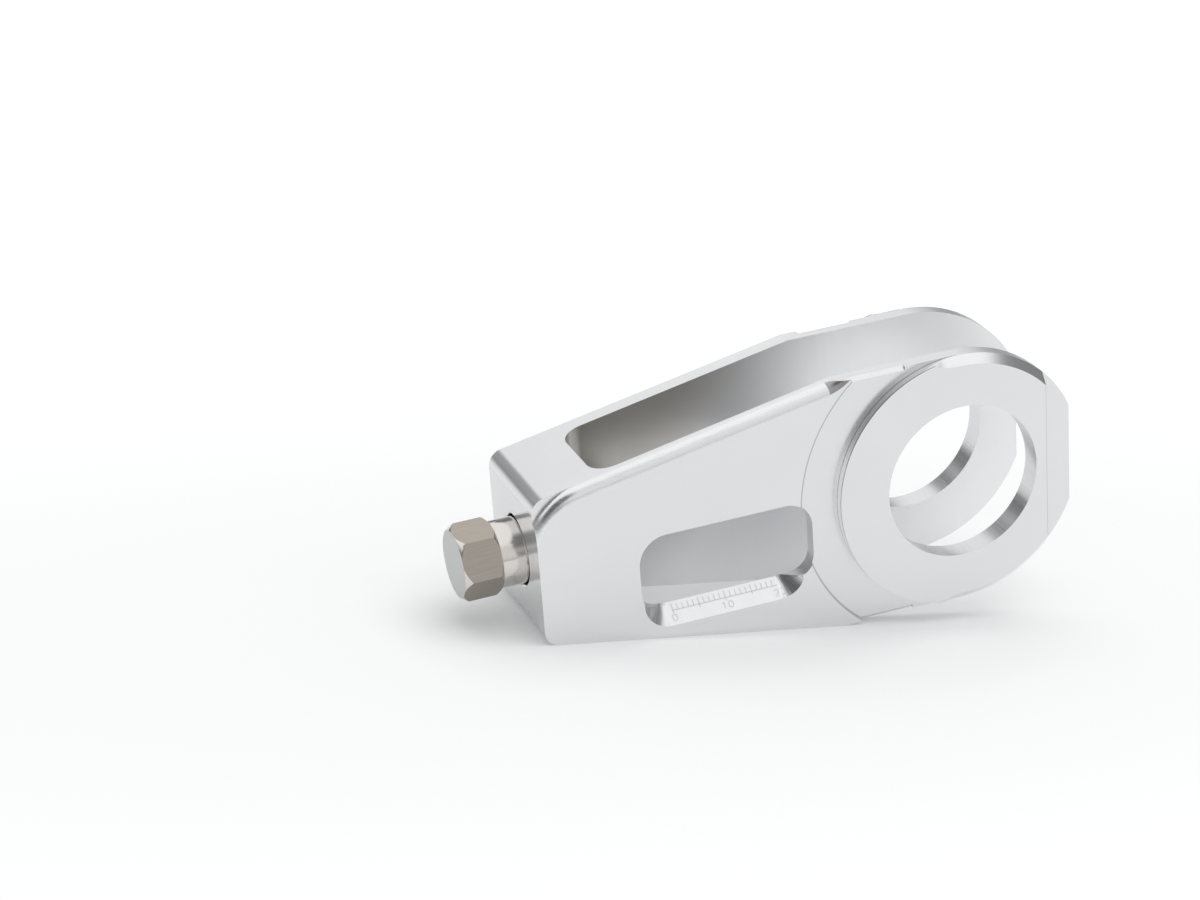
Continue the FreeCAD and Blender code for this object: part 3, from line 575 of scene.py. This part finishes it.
class NodeRecipe(Nodes):
    """A geometry node tree with named inputs, run once on an empty mesh to make a plain one."""

    def __init__(self, name: str, material: Material) -> None:
        """Starts a tree that takes sizes and a finish and gives a mesh.

        Args:
            name: the name of the tree and its mesh.
            material: the mesh's material.
        """
        super().__init__(bpy.data.node_groups.new(name, "GeometryNodeTree"))
        self.name = name
        self.tree.interface.new_socket("Geometry", in_out="OUTPUT", socket_type="NodeSocketGeometry")
        self.entry = self.tree.nodes.new("NodeGroupInput")
        self.exit = self.tree.nodes.new("NodeGroupOutput")
        self.values: dict[str, object] = {}
        self.take("Finish", "Material", material)

    def take(self, name: str, kind: str, value: object) -> None:
        """Adds a named input: a Float, an Int or a Material."""
        socket = self.tree.interface.new_socket(name, in_out="INPUT", socket_type=f"NodeSocket{kind}")
        self.values[socket.identifier] = value

    def take_sizes(self, sizes: dict[str, float]) -> None:
        """Adds a named input for each size, which is given in millimetres."""
        for name, value in sizes.items():
            self.take(name, "Float", value * MM)

    def read(self, name: str) -> Socket:
        """The socket that gives a named input inside the tree."""
        return self.entry.outputs[name]

    def bar(self, size: Socket) -> Socket:
        """A bar about the origin."""
        return self.add("GeometryNodeMeshCube", {"Size": size}).outputs[0]

    def moved(self, shape: Socket, offset: object) -> Socket:
        """The shape, shifted by a vector or a socket."""
        return self.add("GeometryNodeTransform", {"Geometry": shape, "Translation": offset}).outputs[0]

    def run(self, last: Socket) -> bpy.types.Mesh:
        """Ends the tree, runs it and gives the plain mesh.

        Args:
            last: the geometry to finish.

        Returns:
            A mesh that no longer depends on the tree.
        """
        real = self.add("GeometryNodeRealizeInstances", {0: last})
        dressed = self.add("GeometryNodeSetMaterial",
                           {"Geometry": real.outputs[0], "Material": self.read("Finish")})
        self.tree.links.new(dressed.outputs[0], self.exit.inputs[0])
        carrier = in_scene(f"{self.name}_carrier", bpy.data.meshes.new(f"{self.name}_carrier"))
        modifier = carrier.modifiers.new("Recipe", "NODES")
        modifier.node_group = self.tree
        for identifier, value in self.values.items():
            modifier[identifier] = value
        made = plain_mesh(carrier)
        made.name = self.name
        carrier.modifiers.remove(modifier)
        bpy.data.objects.remove(carrier)
        return made


@dataclass
class MilledFork:
    """The fork: the CAD solid's shape, with its edges broken and each face's own tool marks.

    Sizes and places are in millimetres, in the fork's own axes.
    """

    lean: Lean
    bore_radius: float = 14.5
    bore_margin: float = 0.2
    ring_radius: float = 23.8
    ring_margin: float = 0.3
    slot_half: float = 9.0
    slot_margin: float = 0.5
    window_span: Pair = (-61.6, -28.6)
    window_height: Pair = (-16.0, 2.7)
    chamfer_start: float = -6.5
    run_out_span: Pair = (-24.7, -20.25)
    run_out_centre: Pair = (-25.87, 29.76)
    edge_break: float = 0.14
    sharp_edge: float = 24.0
    # how much lighter the chamfers, bevels and rounding are: a painted highlight
    brighter: float = 1.03
    aluminium: Triple = (0.835, 0.843, 0.855)
    # lighter and darker copies of the aluminium: painted light on the slot faces and ring wall, painted
    # shade in the bore
    slot_aluminium: Triple = (0.9, 0.908, 0.92)
    bore_aluminium: Triple = (0.74, 0.75, 0.765)
    wall_aluminium: Triple = (0.97, 0.97, 0.965)
    # the slot faces' colour at their inner end: painted shade
    dull_aluminium: Triple = (0.54, 0.525, 0.5)
    # the run-out cone's darker copy of the aluminium: painted shade
    dark_aluminium: Triple = (0.42, 0.41, 0.4)

    def surface_of(self, face: bmesh.types.BMFace) -> Surface:
        """How a face was cut, from where it is and which way it looks.

        Args:
            face: a face in the fork's own axes.

        Returns:
            The kind of surface.
        """
        centre = face.calc_center_median() / MM
        normal = face.normal
        radius = math.hypot(centre.x, centre.z)
        outside = abs(centre.y) > self.slot_half + self.slot_margin
        if abs(normal.y) > FACING:
            return Surface.FACED if outside else Surface.SLOT
        if not outside and abs(normal.y) > ALONG and abs(normal.z) < LEVEL:
            return Surface.SLOT
        if abs(normal.y) < ALONG:
            if abs(radius - self.bore_radius) < self.bore_margin:
                return Surface.BORE
            if normal.x < -FACING and centre.x < self.window_span[0]:
                return Surface.NOSE
            on_ring = abs(radius - self.ring_radius) < self.ring_margin and centre.x < 0.0
            return Surface.RING_WALL if on_ring and outside else Surface.WALL
        low, high = self.window_height
        if self.window_span[0] < centre.x < self.window_span[1] and low < centre.z < high:
            if abs(normal.x) < LEVEL:
                return Surface.SCALE_BEVEL
            return Surface.BEVEL_START if centre.x < WINDOW_CONES[0][0] else Surface.BEVEL_END
        if centre.x > self.chamfer_start:
            return Surface.RING_CHAMFER
        start, end = self.run_out_span
        return Surface.RUN_OUT if start < centre.x < end and centre.z > 0.0 else Surface.ROUNDING

    def materials(self) -> list[Material]:
        """Makes one material for each kind of surface.

        Returns:
            The materials, in the order of the Enum.
        """
        turn = self.lean.angle
        plain = {"colour": self.aluminium, "turn": turn}
        # a lighter copy of the aluminium: painted highlight on the chamfers, bevels and rounding
        bright = {"colour": tuple(part * self.brighter for part in self.aluminium), "turn": turn}
        cone = {"roughness": (0.16, 0.3), "per_turn": 110.0, "depth": 7e-6}
        made = {
            # satin faces, with painted shade lines along their two steps
            Surface.FACED: EdgedFace(name="satin_face", roughness=(0.25, 0.27), depth=2e-8, step=16.7,
                                     circle=30.85, metallic=0.85, scale=(120.0, 600.0, 600.0), **plain),
            # the slot faces, with painted shade towards their inner end
            Surface.SLOT: DulledFace(name="slot_face", roughness=(0.32, 0.38), depth=6e-7, inner=-62.0,
                                     outer=-30.0, slant=0.8, scale=(900.0, 900.0, 60.0), turn=turn,
                                     colour=self.slot_aluminium, dullest=self.dull_aluminium),
            Surface.WALL: StraightMarks(name="milled_wall", roughness=(0.3, 0.34), depth=2e-7,
                                        scale=(1600.0, 60.0, 1600.0), **plain),
            Surface.NOSE: StraightMarks(name="nose_face", roughness=(0.13, 0.19), depth=6e-7,
                                        metallic=0.6, scale=(60.0, 120.0, 2400.0), **plain),
            # the ring wall, with painted shade at its foot, along its edge and towards its top
            Surface.RING_WALL: StepWall(name="ring_wall", roughness=(0.18, 0.26), depth=5e-6,
                                        foot=(11.6, 11.78), edge=(12.95, 13.1), top=(6.0, 12.0),
                                        metallic=0.8, scale=(40.0, 2600.0, 40.0), turn=turn,
                                        colour=self.wall_aluminium),
            Surface.BORE: StraightMarks(name="bored_wall", roughness=(0.2, 0.28), depth=1.2e-6,
                                        scale=(4200.0, 40.0, 4200.0), turn=turn,
                                        colour=self.bore_aluminium),
            Surface.RING_CHAMFER: FannedMarks(name="ring_chamfer", roughness=(0.14, 0.26), depth=3e-6,
                                              per_turn=620.0, **bright),
            Surface.SCALE_BEVEL: StraightMarks(name="scale_bevel", roughness=(0.26, 0.32), depth=1.5e-7,
                                               scale=(600.0, 60.0, 60.0), **bright),
            Surface.BEVEL_START: FannedMarks(name="bevel_start", centre=WINDOW_CONES[0], **cone, **plain),
            Surface.BEVEL_END: FannedMarks(name="bevel_end", centre=WINDOW_CONES[1], **cone, **bright),
            Surface.RUN_OUT: FannedMarks(name="run_out", centre=self.run_out_centre, roughness=(0.24, 0.36),
                                         depth=5e-6, per_turn=300.0, turn=turn, colour=self.dark_aluminium),
            Surface.ROUNDING: StraightMarks(name="edge_rounding", roughness=(0.22, 0.34), depth=1.1e-5,
                                            scale=(50.0, 1800.0, 1800.0), **bright),
        }
        return [made[surface].build() for surface in Surface]

    def build(self) -> list[Piece]:
        """Makes the fork's visible piece, which stands for the CAD node.

        Returns:
            The piece alone, riding on the fork's body.
        """
        mesh = merged_copy(FORK_NODE, self.lean)
        order = list(Surface)
        for face in mesh.faces:
            face.material_index = order.index(self.surface_of(face))
        break_edges(mesh, self.edge_break * MM, math.radians(self.sharp_edge))
        piece = new_piece("milled_fork", mesh, self.materials(), self.lean.to_row)
        weigh_normals(piece)
        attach(piece, "fork")
        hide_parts(FORK_NODE)
        return [piece]


@dataclass
class EngravedScale:
    """The scale on the bevel under the window: base line, marks at each millimetre and three numbers.

    Sizes and places are in millimetres; the strokes' corners are shares of a digit's width and height.
    """

    lean: Lean
    zero: float = -55.3
    divisions: int = 20
    long_every: int = 5
    values: tuple[int, ...] = (0, 10, 20)
    lower_edge: float = -15.3
    cheek_face: float = -12.1
    cone_radius: float = 5.0
    base_height: float = 2.7
    short_mark: float = 1.1
    long_mark: float = 1.85
    long_drop: float = 0.55
    line_width: float = 0.16
    proud: float = 0.008
    floor_colour: Triple = (0.73, 0.73, 0.74)
    digit_height: float = 1.2
    digit_width: float = 0.8
    digit_gap: float = 0.45
    digit_foot: float = 0.75
    strokes: dict[str, list[Pair]] = field(default_factory=lambda: {
        "0": [(0.5, 0.0), (0.14, 0.1), (0.0, 0.3), (0.0, 0.7), (0.14, 0.9), (0.5, 1.0), (0.86, 0.9),
              (1.0, 0.7), (1.0, 0.3), (0.86, 0.1), (0.5, 0.0)],
        "1": [(0.2, 0.75), (0.55, 1.0), (0.55, 0.0)],
        "2": [(0.0, 0.75), (0.12, 0.92), (0.5, 1.0), (0.88, 0.92), (1.0, 0.72), (0.85, 0.48),
              (0.0, 0.0), (1.0, 0.0)],
    })

    @property
    def on_bevel(self) -> Matrix:
        """From the bevel's own plane, with X along it and Y up its slope, to the row, in metres.

        Returns:
            The matrix, whose origin is the scale's zero at the bevel's lower edge.
        """
        slope = Vector((0.0, math.sqrt(0.5), math.sqrt(0.5)))
        outward = Vector((0.0, -math.sqrt(0.5), math.sqrt(0.5)))
        foot = Vector((self.zero, self.cheek_face, self.lower_edge)) * MM
        columns = Matrix((Vector((1.0, 0.0, 0.0)), slope, outward)).transposed().to_4x4()
        return self.lean.to_row @ Matrix.Translation(foot) @ columns

    def marks(self, material: Material) -> Piece:
        """The marks and the base line, repeated along the bevel by a node tree.

        Args:
            material: the floor of the engraved lines.

        Returns:
            The piece.
        """
        recipe = NodeRecipe("scale_marks", material)
        recipe.take("Marks", "Int", self.divisions + 1)
        recipe.take("Long every", "Int", self.long_every)
        recipe.take_sizes({"Spacing": 1.0, "Short": self.short_mark, "Long": self.long_mark,
                           "Drop": self.long_drop, "Width": self.line_width, "Depth": 2 * self.proud,
                           "Base": self.base_height})
        spacing, width, depth = recipe.read("Spacing"), recipe.read("Width"), recipe.read("Depth")
        row = recipe.add("GeometryNodeMeshLine", {"Count": recipe.read("Marks"),
                                                  "Offset": recipe.point(spacing)}, mode="OFFSET")
        bar = recipe.moved(recipe.bar(recipe.point(width, 1.0, depth)), (0.0, 0.5, 0.0))
        index = recipe.add("GeometryNodeInputIndex").outputs[0]
        is_long = recipe.math("COMPARE", recipe.math("MODULO", index, recipe.read("Long every")), 0.0)
        extra = recipe.math("SUBTRACT", recipe.read("Long"), recipe.read("Short"))
        length = recipe.math("ADD", recipe.read("Short"), recipe.math("MULTIPLY", is_long, extra))
        drop = recipe.math("MULTIPLY", recipe.math("MULTIPLY", is_long, recipe.read("Drop")), -1.0)
        feet = recipe.add("GeometryNodeSetPosition",
                          {"Geometry": row.outputs[0], "Offset": recipe.point(y=drop)})
        spread = recipe.add("GeometryNodeInstanceOnPoints", {"Points": feet.outputs[0], "Instance": bar,
                                                             "Scale": recipe.point(1.0, length, 1.0)})
        span = recipe.math("MULTIPLY", recipe.math("SUBTRACT", recipe.read("Marks"), 1.0), spacing)
        line = recipe.bar(recipe.point(recipe.math("ADD", span, width), width, depth))
        base = recipe.moved(line, recipe.point(recipe.math("MULTIPLY", span, 0.5)))
        joined = recipe.add("GeometryNodeJoinGeometry", {0: spread.outputs[0]}).outputs[0]
        recipe.tree.links.new(base, joined.node.inputs[0])
        placed = recipe.moved(joined, recipe.point(y=recipe.read("Base")))
        made = recipe.run(placed)
        made.transform(self.on_bevel)
        return in_scene("scale_marks", made)

    def spot(self, along: float, up: float, lift: float) -> Vector:
        """A point of the bevel, which turns into a cone at the end of the scale.

        Args:
            along: distance from the scale's zero, in millimetres.
            up: distance up the slope from the bevel's lower edge, in millimetres.
            lift: distance off the surface, in millimetres.

        Returns:
            The point in the fork's own axes, in metres.
        """
        slope = math.sqrt(0.5)
        start, level = WINDOW_CONES[1]
        across = self.cheek_face + (up - lift) * slope
        radius = self.cone_radius - (up + lift) * slope
        beyond = self.zero + along - start
        angle = max(beyond, 0.0) / radius
        side = start + min(beyond, 0.0) + radius * math.sin(angle)
        return Vector((side, across, level - radius * math.cos(angle))) * MM

    def stroke(self, mesh: bmesh.types.BMesh, points: list[Pair]) -> None:
        """Adds one engraved line of even width along some points.

        Args:
            mesh: the mesh that takes it.
            points: the line's corners on the bevel, in millimetres.
        """
        half = self.line_width / 2
        closed = points[0] == points[-1]
        path = [Vector((x, y, 0.0)) for x, y in (points[:-1] if closed else points)]
        count = len(path)
        levels: list[list[bmesh.types.BMVert]] = []
        for index, point in enumerate(path):
            before = path[index - 1] if index or closed else point
            after = path[(index + 1) % count] if index < count - 1 or closed else point
            way = (after - before).normalized()
            side = Vector((-way.y, way.x, 0.0)) * half
            level = []
            for sign, height in ((1, -self.proud), (-1, -self.proud), (-1, self.proud), (1, self.proud)):
                place = self.spot(point.x + side.x * sign, point.y + side.y * sign, height)
                level.append(mesh.verts.new(place))
            levels.append(level)
        following = levels[1:] + levels[:1] if closed else levels[1:]
        for first, second in zip(levels, following):
            for here, there in ((0, 1), (1, 2), (2, 3), (3, 0)):
                mesh.faces.new((first[here], first[there], second[there], second[here]))
        if not closed:
            mesh.faces.new(levels[0][::-1])
            mesh.faces.new(levels[-1])

    def numbers(self, material: Material) -> Piece:
        """The numbers, each centred under its mark.

        Args:
            material: the floor of the engraved lines.

        Returns:
            The piece.
        """
        mesh = bmesh.new()
        pitch = self.digit_width + self.digit_gap
        for value in self.values:
            text = str(value)
            start = value - (len(text) * pitch - self.digit_gap) / 2
            for place, digit in enumerate(text):
                left = start + place * pitch
                self.stroke(mesh, [(left + x * self.digit_width, self.digit_foot + y * self.digit_height)
                                   for x, y in self.strokes[digit]])
        bmesh.ops.recalc_face_normals(mesh, faces=mesh.faces)
        return new_piece("scale_numbers", mesh, [material], self.lean.to_row)

    def build(self) -> list[Piece]:
        """Makes the scale's pieces, which ride on the fork.

        Returns:
            The marks and the numbers.
        """
        material = PittedFloor(name="engraved_line", colour=self.floor_colour, roughness=(0.5, 0.65),
                               depth=1e-6, mottle=0.12, metallic=0.7, streaks=True,
                               per_metre=14000.0).build()
        pieces = [self.marks(material), self.numbers(material)]
        for piece in pieces:
            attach(piece, "fork")
        return pieces


@dataclass
class AdjusterBolt:
    """The bolt: its head and collar as in the CAD solid, and a shank with its thread cut in.

    Sizes and places are in millimetres, in the fork's own axes.
    """

    lean: Lean
    collar_end: float = -78.6
    overlap: float = 0.4
    flats_end: float = -84.3
    flat_distance: float = 6.0
    flat_margin: float = 0.02
    edge_break: float = 0.1
    sharp_edge: float = 18.0
    tip: float = -57.3
    tip_chamfer: float = 0.8
    root_radius: float = 4.3
    crest_radius: float = 4.97
    pitch: float = 1.5
    ridge_foot: float = 0.66
    ridge_top: float = 0.1
    ridge_sunk: float = 0.08
    steps_per_turn: int = 48
    crest_smooth_angle: float = 0.5
    neck: float = 1.6
    sides: int = 64
    steel: Triple = (0.73, 0.7, 0.665)
    # a darker copy of the steel on the end face: painted shade
    faced_steel: Triple = (0.53, 0.535, 0.54)
    # a darker copy of the steel on the hexagon's flats: painted shade
    drawn_steel: Triple = (0.42, 0.38, 0.335)

    def surface_of(self, face: bmesh.types.BMFace) -> BoltSurface:
        """How a face of the bolt was made.

        Args:
            face: a face in the fork's own axes.

        Returns:
            The kind of surface.
        """
        centre = face.calc_center_median() / MM
        normal = face.normal
        if normal.x < -FACING:
            return BoltSurface.END
        reach = centre.y * normal.y + centre.z * normal.z
        flat = abs(normal.x) < LEVEL and abs(reach - self.flat_distance) < self.flat_margin
        return BoltSurface.HEXAGON if flat and centre.x < self.flats_end else BoltSurface.TURNED

    def materials(self) -> list[Material]:
        """Makes one material for each kind of surface.

        Returns:
            The materials, in the order of the Enum.
        """
        lay = {"turn": self.lean.angle, "streaks": True}
        made = {
            BoltSurface.END: TurnedMarks(name="faced_steel", roughness=(0.3, 0.38), depth=1e-6, mottle=0.04,
                                         per_metre=5000.0, colour=self.faced_steel, **lay),
            BoltSurface.HEXAGON: StraightMarks(name="drawn_steel", roughness=(0.14, 0.24), depth=2.5e-6,
                                               mottle=0.06, scale=(200.0, 5200.0, 5200.0),
                                               colour=self.drawn_steel, **lay),
            BoltSurface.TURNED: TurnedMarks(name="turned_steel", roughness=(0.1, 0.16), depth=6e-7,
                                            mottle=0.06, per_metre=5200.0, colour=self.steel, **lay),
        }
        return [made[surface].build() for surface in BoltSurface]

    def head(self, materials: list[Material]) -> Piece:
        """The head and the collar, cut from a copy of the CAD solid.

        Args:
            materials: one for each kind of surface.

        Returns:
            The piece.
        """
        mesh = merged_copy(BOLT_NODE, self.lean)
        cut = bmesh.ops.bisect_plane(mesh, geom=mesh.verts[:] + mesh.edges[:] + mesh.faces[:],
                                     dist=CUT_WIDTH, plane_no=(1.0, 0.0, 0.0), clear_outer=True,
                                     plane_co=((self.collar_end + self.overlap) * MM, 0.0, 0.0))
        rim = [item for item in cut["geom_cut"] if isinstance(item, bmesh.types.BMEdge)]
        bmesh.ops.holes_fill(mesh, edges=rim)
        bmesh.ops.recalc_face_normals(mesh, faces=mesh.faces)
        order = list(BoltSurface)
        for face in mesh.faces:
            face.material_index = order.index(self.surface_of(face))
        break_edges(mesh, self.edge_break * MM, math.radians(self.sharp_edge))
        piece = new_piece("bolt_head", mesh, materials, self.lean.to_row)
        weigh_normals(piece)
        return piece

    def core(self, material: Material) -> Piece:
        """The shank at the root of its thread, from the collar to the chamfered tip.

        Args:
            material: the turned steel.

        Returns:
            The piece.
        """
        cone = self.tip_chamfer / 2
        profile = [(self.collar_end, 0.0), (self.collar_end, self.root_radius),
                   (self.tip - cone, self.root_radius), (self.tip, self.root_radius - cone), (self.tip, 0.0)]
        mesh = bmesh.new()
        rings = []
        for x, radius in profile:
            ring = []
            for side in range(self.sides if radius else 1):
                angle = math.tau * side / self.sides
                place = (x * MM, radius * MM * math.cos(angle), radius * MM * math.sin(angle))
                ring.append(mesh.verts.new(place))
            rings.append(ring)
        for first, second in zip(rings, rings[1:]):
            for side in range(self.sides):
                corners = [first[side % len(first)], second[side % len(second)],
                           second[(side + 1) % len(second)], first[(side + 1) % len(first)]]
                mesh.faces.new(list(dict.fromkeys(corners)))
        bmesh.ops.recalc_face_normals(mesh, faces=mesh.faces)
        return new_piece("bolt_core", mesh, [material], self.lean.to_row)

    def thread(self, material: Material) -> Piece:
        """The thread's ridge, swept along a spiral by a node tree.

        The spiral's own normals point at the bolt's axis, so the ridge rises against them.

        Args:
            material: the turned steel.

        Returns:
            The ridge as a closed piece.
        """
        recipe = NodeRecipe("bolt_thread", material)
        recipe.take_sizes({"Pitch": self.pitch, "Root": self.root_radius - self.ridge_sunk,
                           "Length": self.tip - self.collar_end - self.neck - self.tip_chamfer,
                           "Crest": self.crest_radius, "Foot": self.ridge_foot, "Top": self.ridge_top})
        recipe.take("Steps", "Int", self.steps_per_turn)
        length, root = recipe.read("Length"), recipe.read("Root")
        spiral = recipe.add("GeometryNodeCurveSpiral",
                            {"Resolution": recipe.read("Steps"), "Height": length, "Start Radius": root,
                             "End Radius": root,
                             "Rotations": recipe.math("DIVIDE", length, recipe.read("Pitch"))})
        upright = recipe.add("GeometryNodeSetCurveNormal", {"Curve": spiral.outputs[0]}, mode="Z_UP")
        outward = recipe.math("SUBTRACT", root, recipe.read("Crest"))
        outline = recipe.add("GeometryNodeCurvePrimitiveQuadrilateral", mode="POINTS")
        for number, (reach, half, sign) in enumerate(((0.0, "Foot", -1.0), (outward, "Top", -1.0),
                                                      (outward, "Top", 1.0), (0.0, "Foot", 1.0)), 1):
            corner = recipe.point(reach, recipe.math("MULTIPLY", recipe.read(half), sign))
            recipe.tree.links.new(corner, outline.inputs[f"Point {number}"])
        swept = recipe.add("GeometryNodeCurveToMesh", {"Curve": upright.outputs[0], "Fill Caps": True,
                                                       "Profile Curve": outline.outputs[0]})
        made = recipe.run(swept.outputs[0])
        start = Matrix.Translation(((self.collar_end + self.neck) * MM, 0.0, 0.0))
        made.transform(start @ Matrix.Rotation(math.pi / 2, 4, "Y"))
        mesh = bmesh.new()
        mesh.from_mesh(made)
        bpy.data.meshes.remove(made)
        bmesh.ops.recalc_face_normals(mesh, faces=mesh.faces)
        reach = max(math.hypot(vert.co.y, vert.co.z) for vert in mesh.verts) / MM
        LOG.info("thread crest radius %.3f mm", reach)
        return new_piece("bolt_thread", mesh, [material], self.lean.to_row, self.crest_smooth_angle)

    def build(self) -> list[Piece]:
        """Makes the bolt's pieces, which ride on the bolt's body.

        Returns:
            The head, the core and the thread.
        """
        materials = self.materials()
        turned = materials[list(BoltSurface).index(BoltSurface.TURNED)]
        pieces = [self.head(materials), self.core(turned), self.thread(turned)]
        for piece in pieces:
            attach(piece, "bolt")
        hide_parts(BOLT_NODE)
        return pieces


@dataclass(frozen=True)
class Card:
    """A soft patch of the surround that only the metal sees, and how bright it is.

    It is round, and fades out between two angles from its middle, in degrees.
    """

    way: Triple
    inner: float
    outer: float
    strength: float


@dataclass
class Studio:
    """The pale floor, the soft light and the camera.

    The floor glows about a middle in millimetres, ever more between three distances in metres, so that
    it is darker near the part: a painted shadow. Spans are the part of a direction along Y or Z between
    which a shade of the surround turns to the next.
    """

    floor_level: float
    floor_half: float = 3.0
    floor_colour: Triple = (0.8, 0.8, 0.795)
    glow_colour: Triple = (0.93, 0.97, 1.0)
    glow_middle: Pair = (-30.0, 0.0)
    glow_squeeze: Triple = (0.4, 1.0, 1.0)
    glow_steps: Triple = (0.01, 0.035, 0.25)
    glow_near: float = 0.17
    glow_far: float = 0.42
    glow_in_metal: float = 0.12
    ambient: float = 0.62
    horizon_front: float = 0.32
    horizon_back: float = 0.2
    horizon_span: Pair = (-0.5, 0.2)
    sky: float = 1.03
    sky_span: Pair = (0.22, 0.48)
    lamp_place: Triple = (0.2, 0.05, 1.3)
    lamp_size: float = 1.4
    lamp_power: float = 9.5
    cards: tuple[Card, ...] = (
        Card((0.3, -0.85, 0.43), 14.0, 32.0, 0.8),
        Card((-0.6, -0.5, 0.6), 18.0, 35.0, 0.1),
        Card((-0.28, 0.86, 0.4), 6.0, 15.0, 0.1),
        Card((0.9, -0.1, 0.42), 17.0, 34.0, 0.24),
    )
    camera_place: Triple = (-0.268689, -0.478217, 0.207839)
    camera_right: Triple = (0.930001, -0.353060, 0.102220)
    camera_up: Triple = (0.041688, 0.377628, 0.925023)
    lens: float = 96.76
    sensor: float = 36.0

    def floor(self) -> None:
        """A wide pale floor that keeps the part's shadow; its glow fades near the part, a painted shadow."""
        mesh = bmesh.new()
        corners = [mesh.verts.new((x * self.floor_half, y * self.floor_half, self.floor_level))
                   for x, y in ((-1, -1), (1, -1), (1, 1), (-1, 1))]
        mesh.faces.new(corners)
        sheet = Sheet("pale_floor")
        path = sheet.add("LightPath")
        start, near, far = self.glow_steps
        point = sheet.position(centre=self.glow_middle)
        away = sheet.length(sheet.stretched(point, self.glow_squeeze))
        # the glow fades towards the part: a painted shadow around it and under the slot
        rising = sheet.math("ADD", sheet.ramp(away, (start, 0.0), (near, self.glow_near)),
                            sheet.ramp(away, (near, 0.0), (far, self.glow_far - self.glow_near)))
        seen = sheet.math("MULTIPLY", path.outputs["Is Camera Ray"], rising)
        mirrored = sheet.math("MULTIPLY", path.outputs["Is Glossy Ray"], self.glow_in_metal)
        lit = sheet.add("BsdfDiffuse", {"Color": (*self.floor_colour, 1.0)})
        glow = sheet.add("Emission", {"Color": (*self.glow_colour, 1.0),
                                      "Strength": sheet.math("ADD", seen, mirrored)})
        both = sheet.add("AddShader", {0: lit.outputs[0], 1: glow.outputs[0]})
        sheet.add("OutputMaterial", {"Surface": both.outputs[0]})
        new_piece("pale_floor", mesh, [sheet.material], Matrix.Identity(4))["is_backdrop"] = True

    def world(self) -> None:
        """The surround: white behind the part; in its reflections dark near the horizon, with cards."""
        world = bpy.data.worlds.new("studio")
        bpy.context.scene.world = world
        world.use_nodes = True
        sheet = Shading(world.node_tree)
        path = sheet.add("LightPath")
        way = sheet.add("TexCoord").outputs["Generated"]
        axes = sheet.axes(way)
        front, back = self.horizon_span
        low = sheet.ramp(axes[1], (front, self.horizon_front), (back, self.horizon_back))
        start, end = self.sky_span
        mirrored = sheet.blend(sheet.ramp(axes[2], (start, 0.0), (end, 1.0)), low, self.sky)
        for card in self.cards:
            towards = Vector(card.way).normalized()[:]
            near = sheet.add("VectorMath", {0: way, 1: towards}, operation="DOT_PRODUCT").outputs["Value"]
            weight = sheet.ramp(near, (math.cos(math.radians(card.outer)), 0.0),
                                (math.cos(math.radians(card.inner)), 1.0))
            mirrored = sheet.blend(weight, mirrored, card.strength)
        unseen = sheet.blend(path.outputs["Is Glossy Ray"], self.ambient, mirrored)
        strength = sheet.blend(path.outputs["Is Camera Ray"], unseen, 1.0)
        background = sheet.add("Background", {"Color": (1.0, 1.0, 1.0, 1.0), "Strength": strength})
        sheet.add("OutputWorld", {0: background.outputs[0]})

    def lamp(self) -> None:
        """A square soft light from above, which doesn't show in the metal."""
        data = bpy.data.lights.new("top_light", "AREA")
        data.shape = "SQUARE"
        data.size = self.lamp_size
        data.energy = self.lamp_power
        lamp = in_scene("top_light", data)
        lamp.visible_glossy = False
        lamp.location = self.lamp_place
        lamp.rotation_mode = "QUATERNION"
        lamp.rotation_quaternion = (-Vector(self.lamp_place)).to_track_quat("-Z", "Y")

    def camera(self) -> None:
        """The camera, where the photograph was taken from."""
        data = bpy.data.cameras.new("photo_camera")
        data.lens = self.lens
        data.sensor_width = self.sensor
        camera = in_scene("photo_camera", data)
        right = Vector(self.camera_right).normalized()
        up = Vector(self.camera_up).normalized()
        turn = Matrix((right, up, right.cross(up))).transposed()
        camera.matrix_world = Matrix.Translation(self.camera_place) @ turn.to_4x4()
        bpy.context.scene.camera = camera

    def build(self) -> None:
        """Sets up the whole studio."""
        self.camera()
        self.floor()
        self.world()
        self.lamp()
        bpy.context.scene.view_settings.view_transform = "Standard"
        LOG.info("studio: floor at %.5f m", self.floor_level)


def main() -> None:
    """Builds the studio and each sub-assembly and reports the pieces."""
    cad_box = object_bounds()
    lean = Lean()
    Studio(floor_level=cad_box[0].z).build()
    for assembly in (MilledFork(lean), EngravedScale(lean), AdjusterBolt(lean)):
        for piece in assembly.build():
            LOG.info("%s: %d faces", piece.name, len(piece.data.polygons))
    LOG.info("boxes written")


if __name__ == "__main__":
    main()
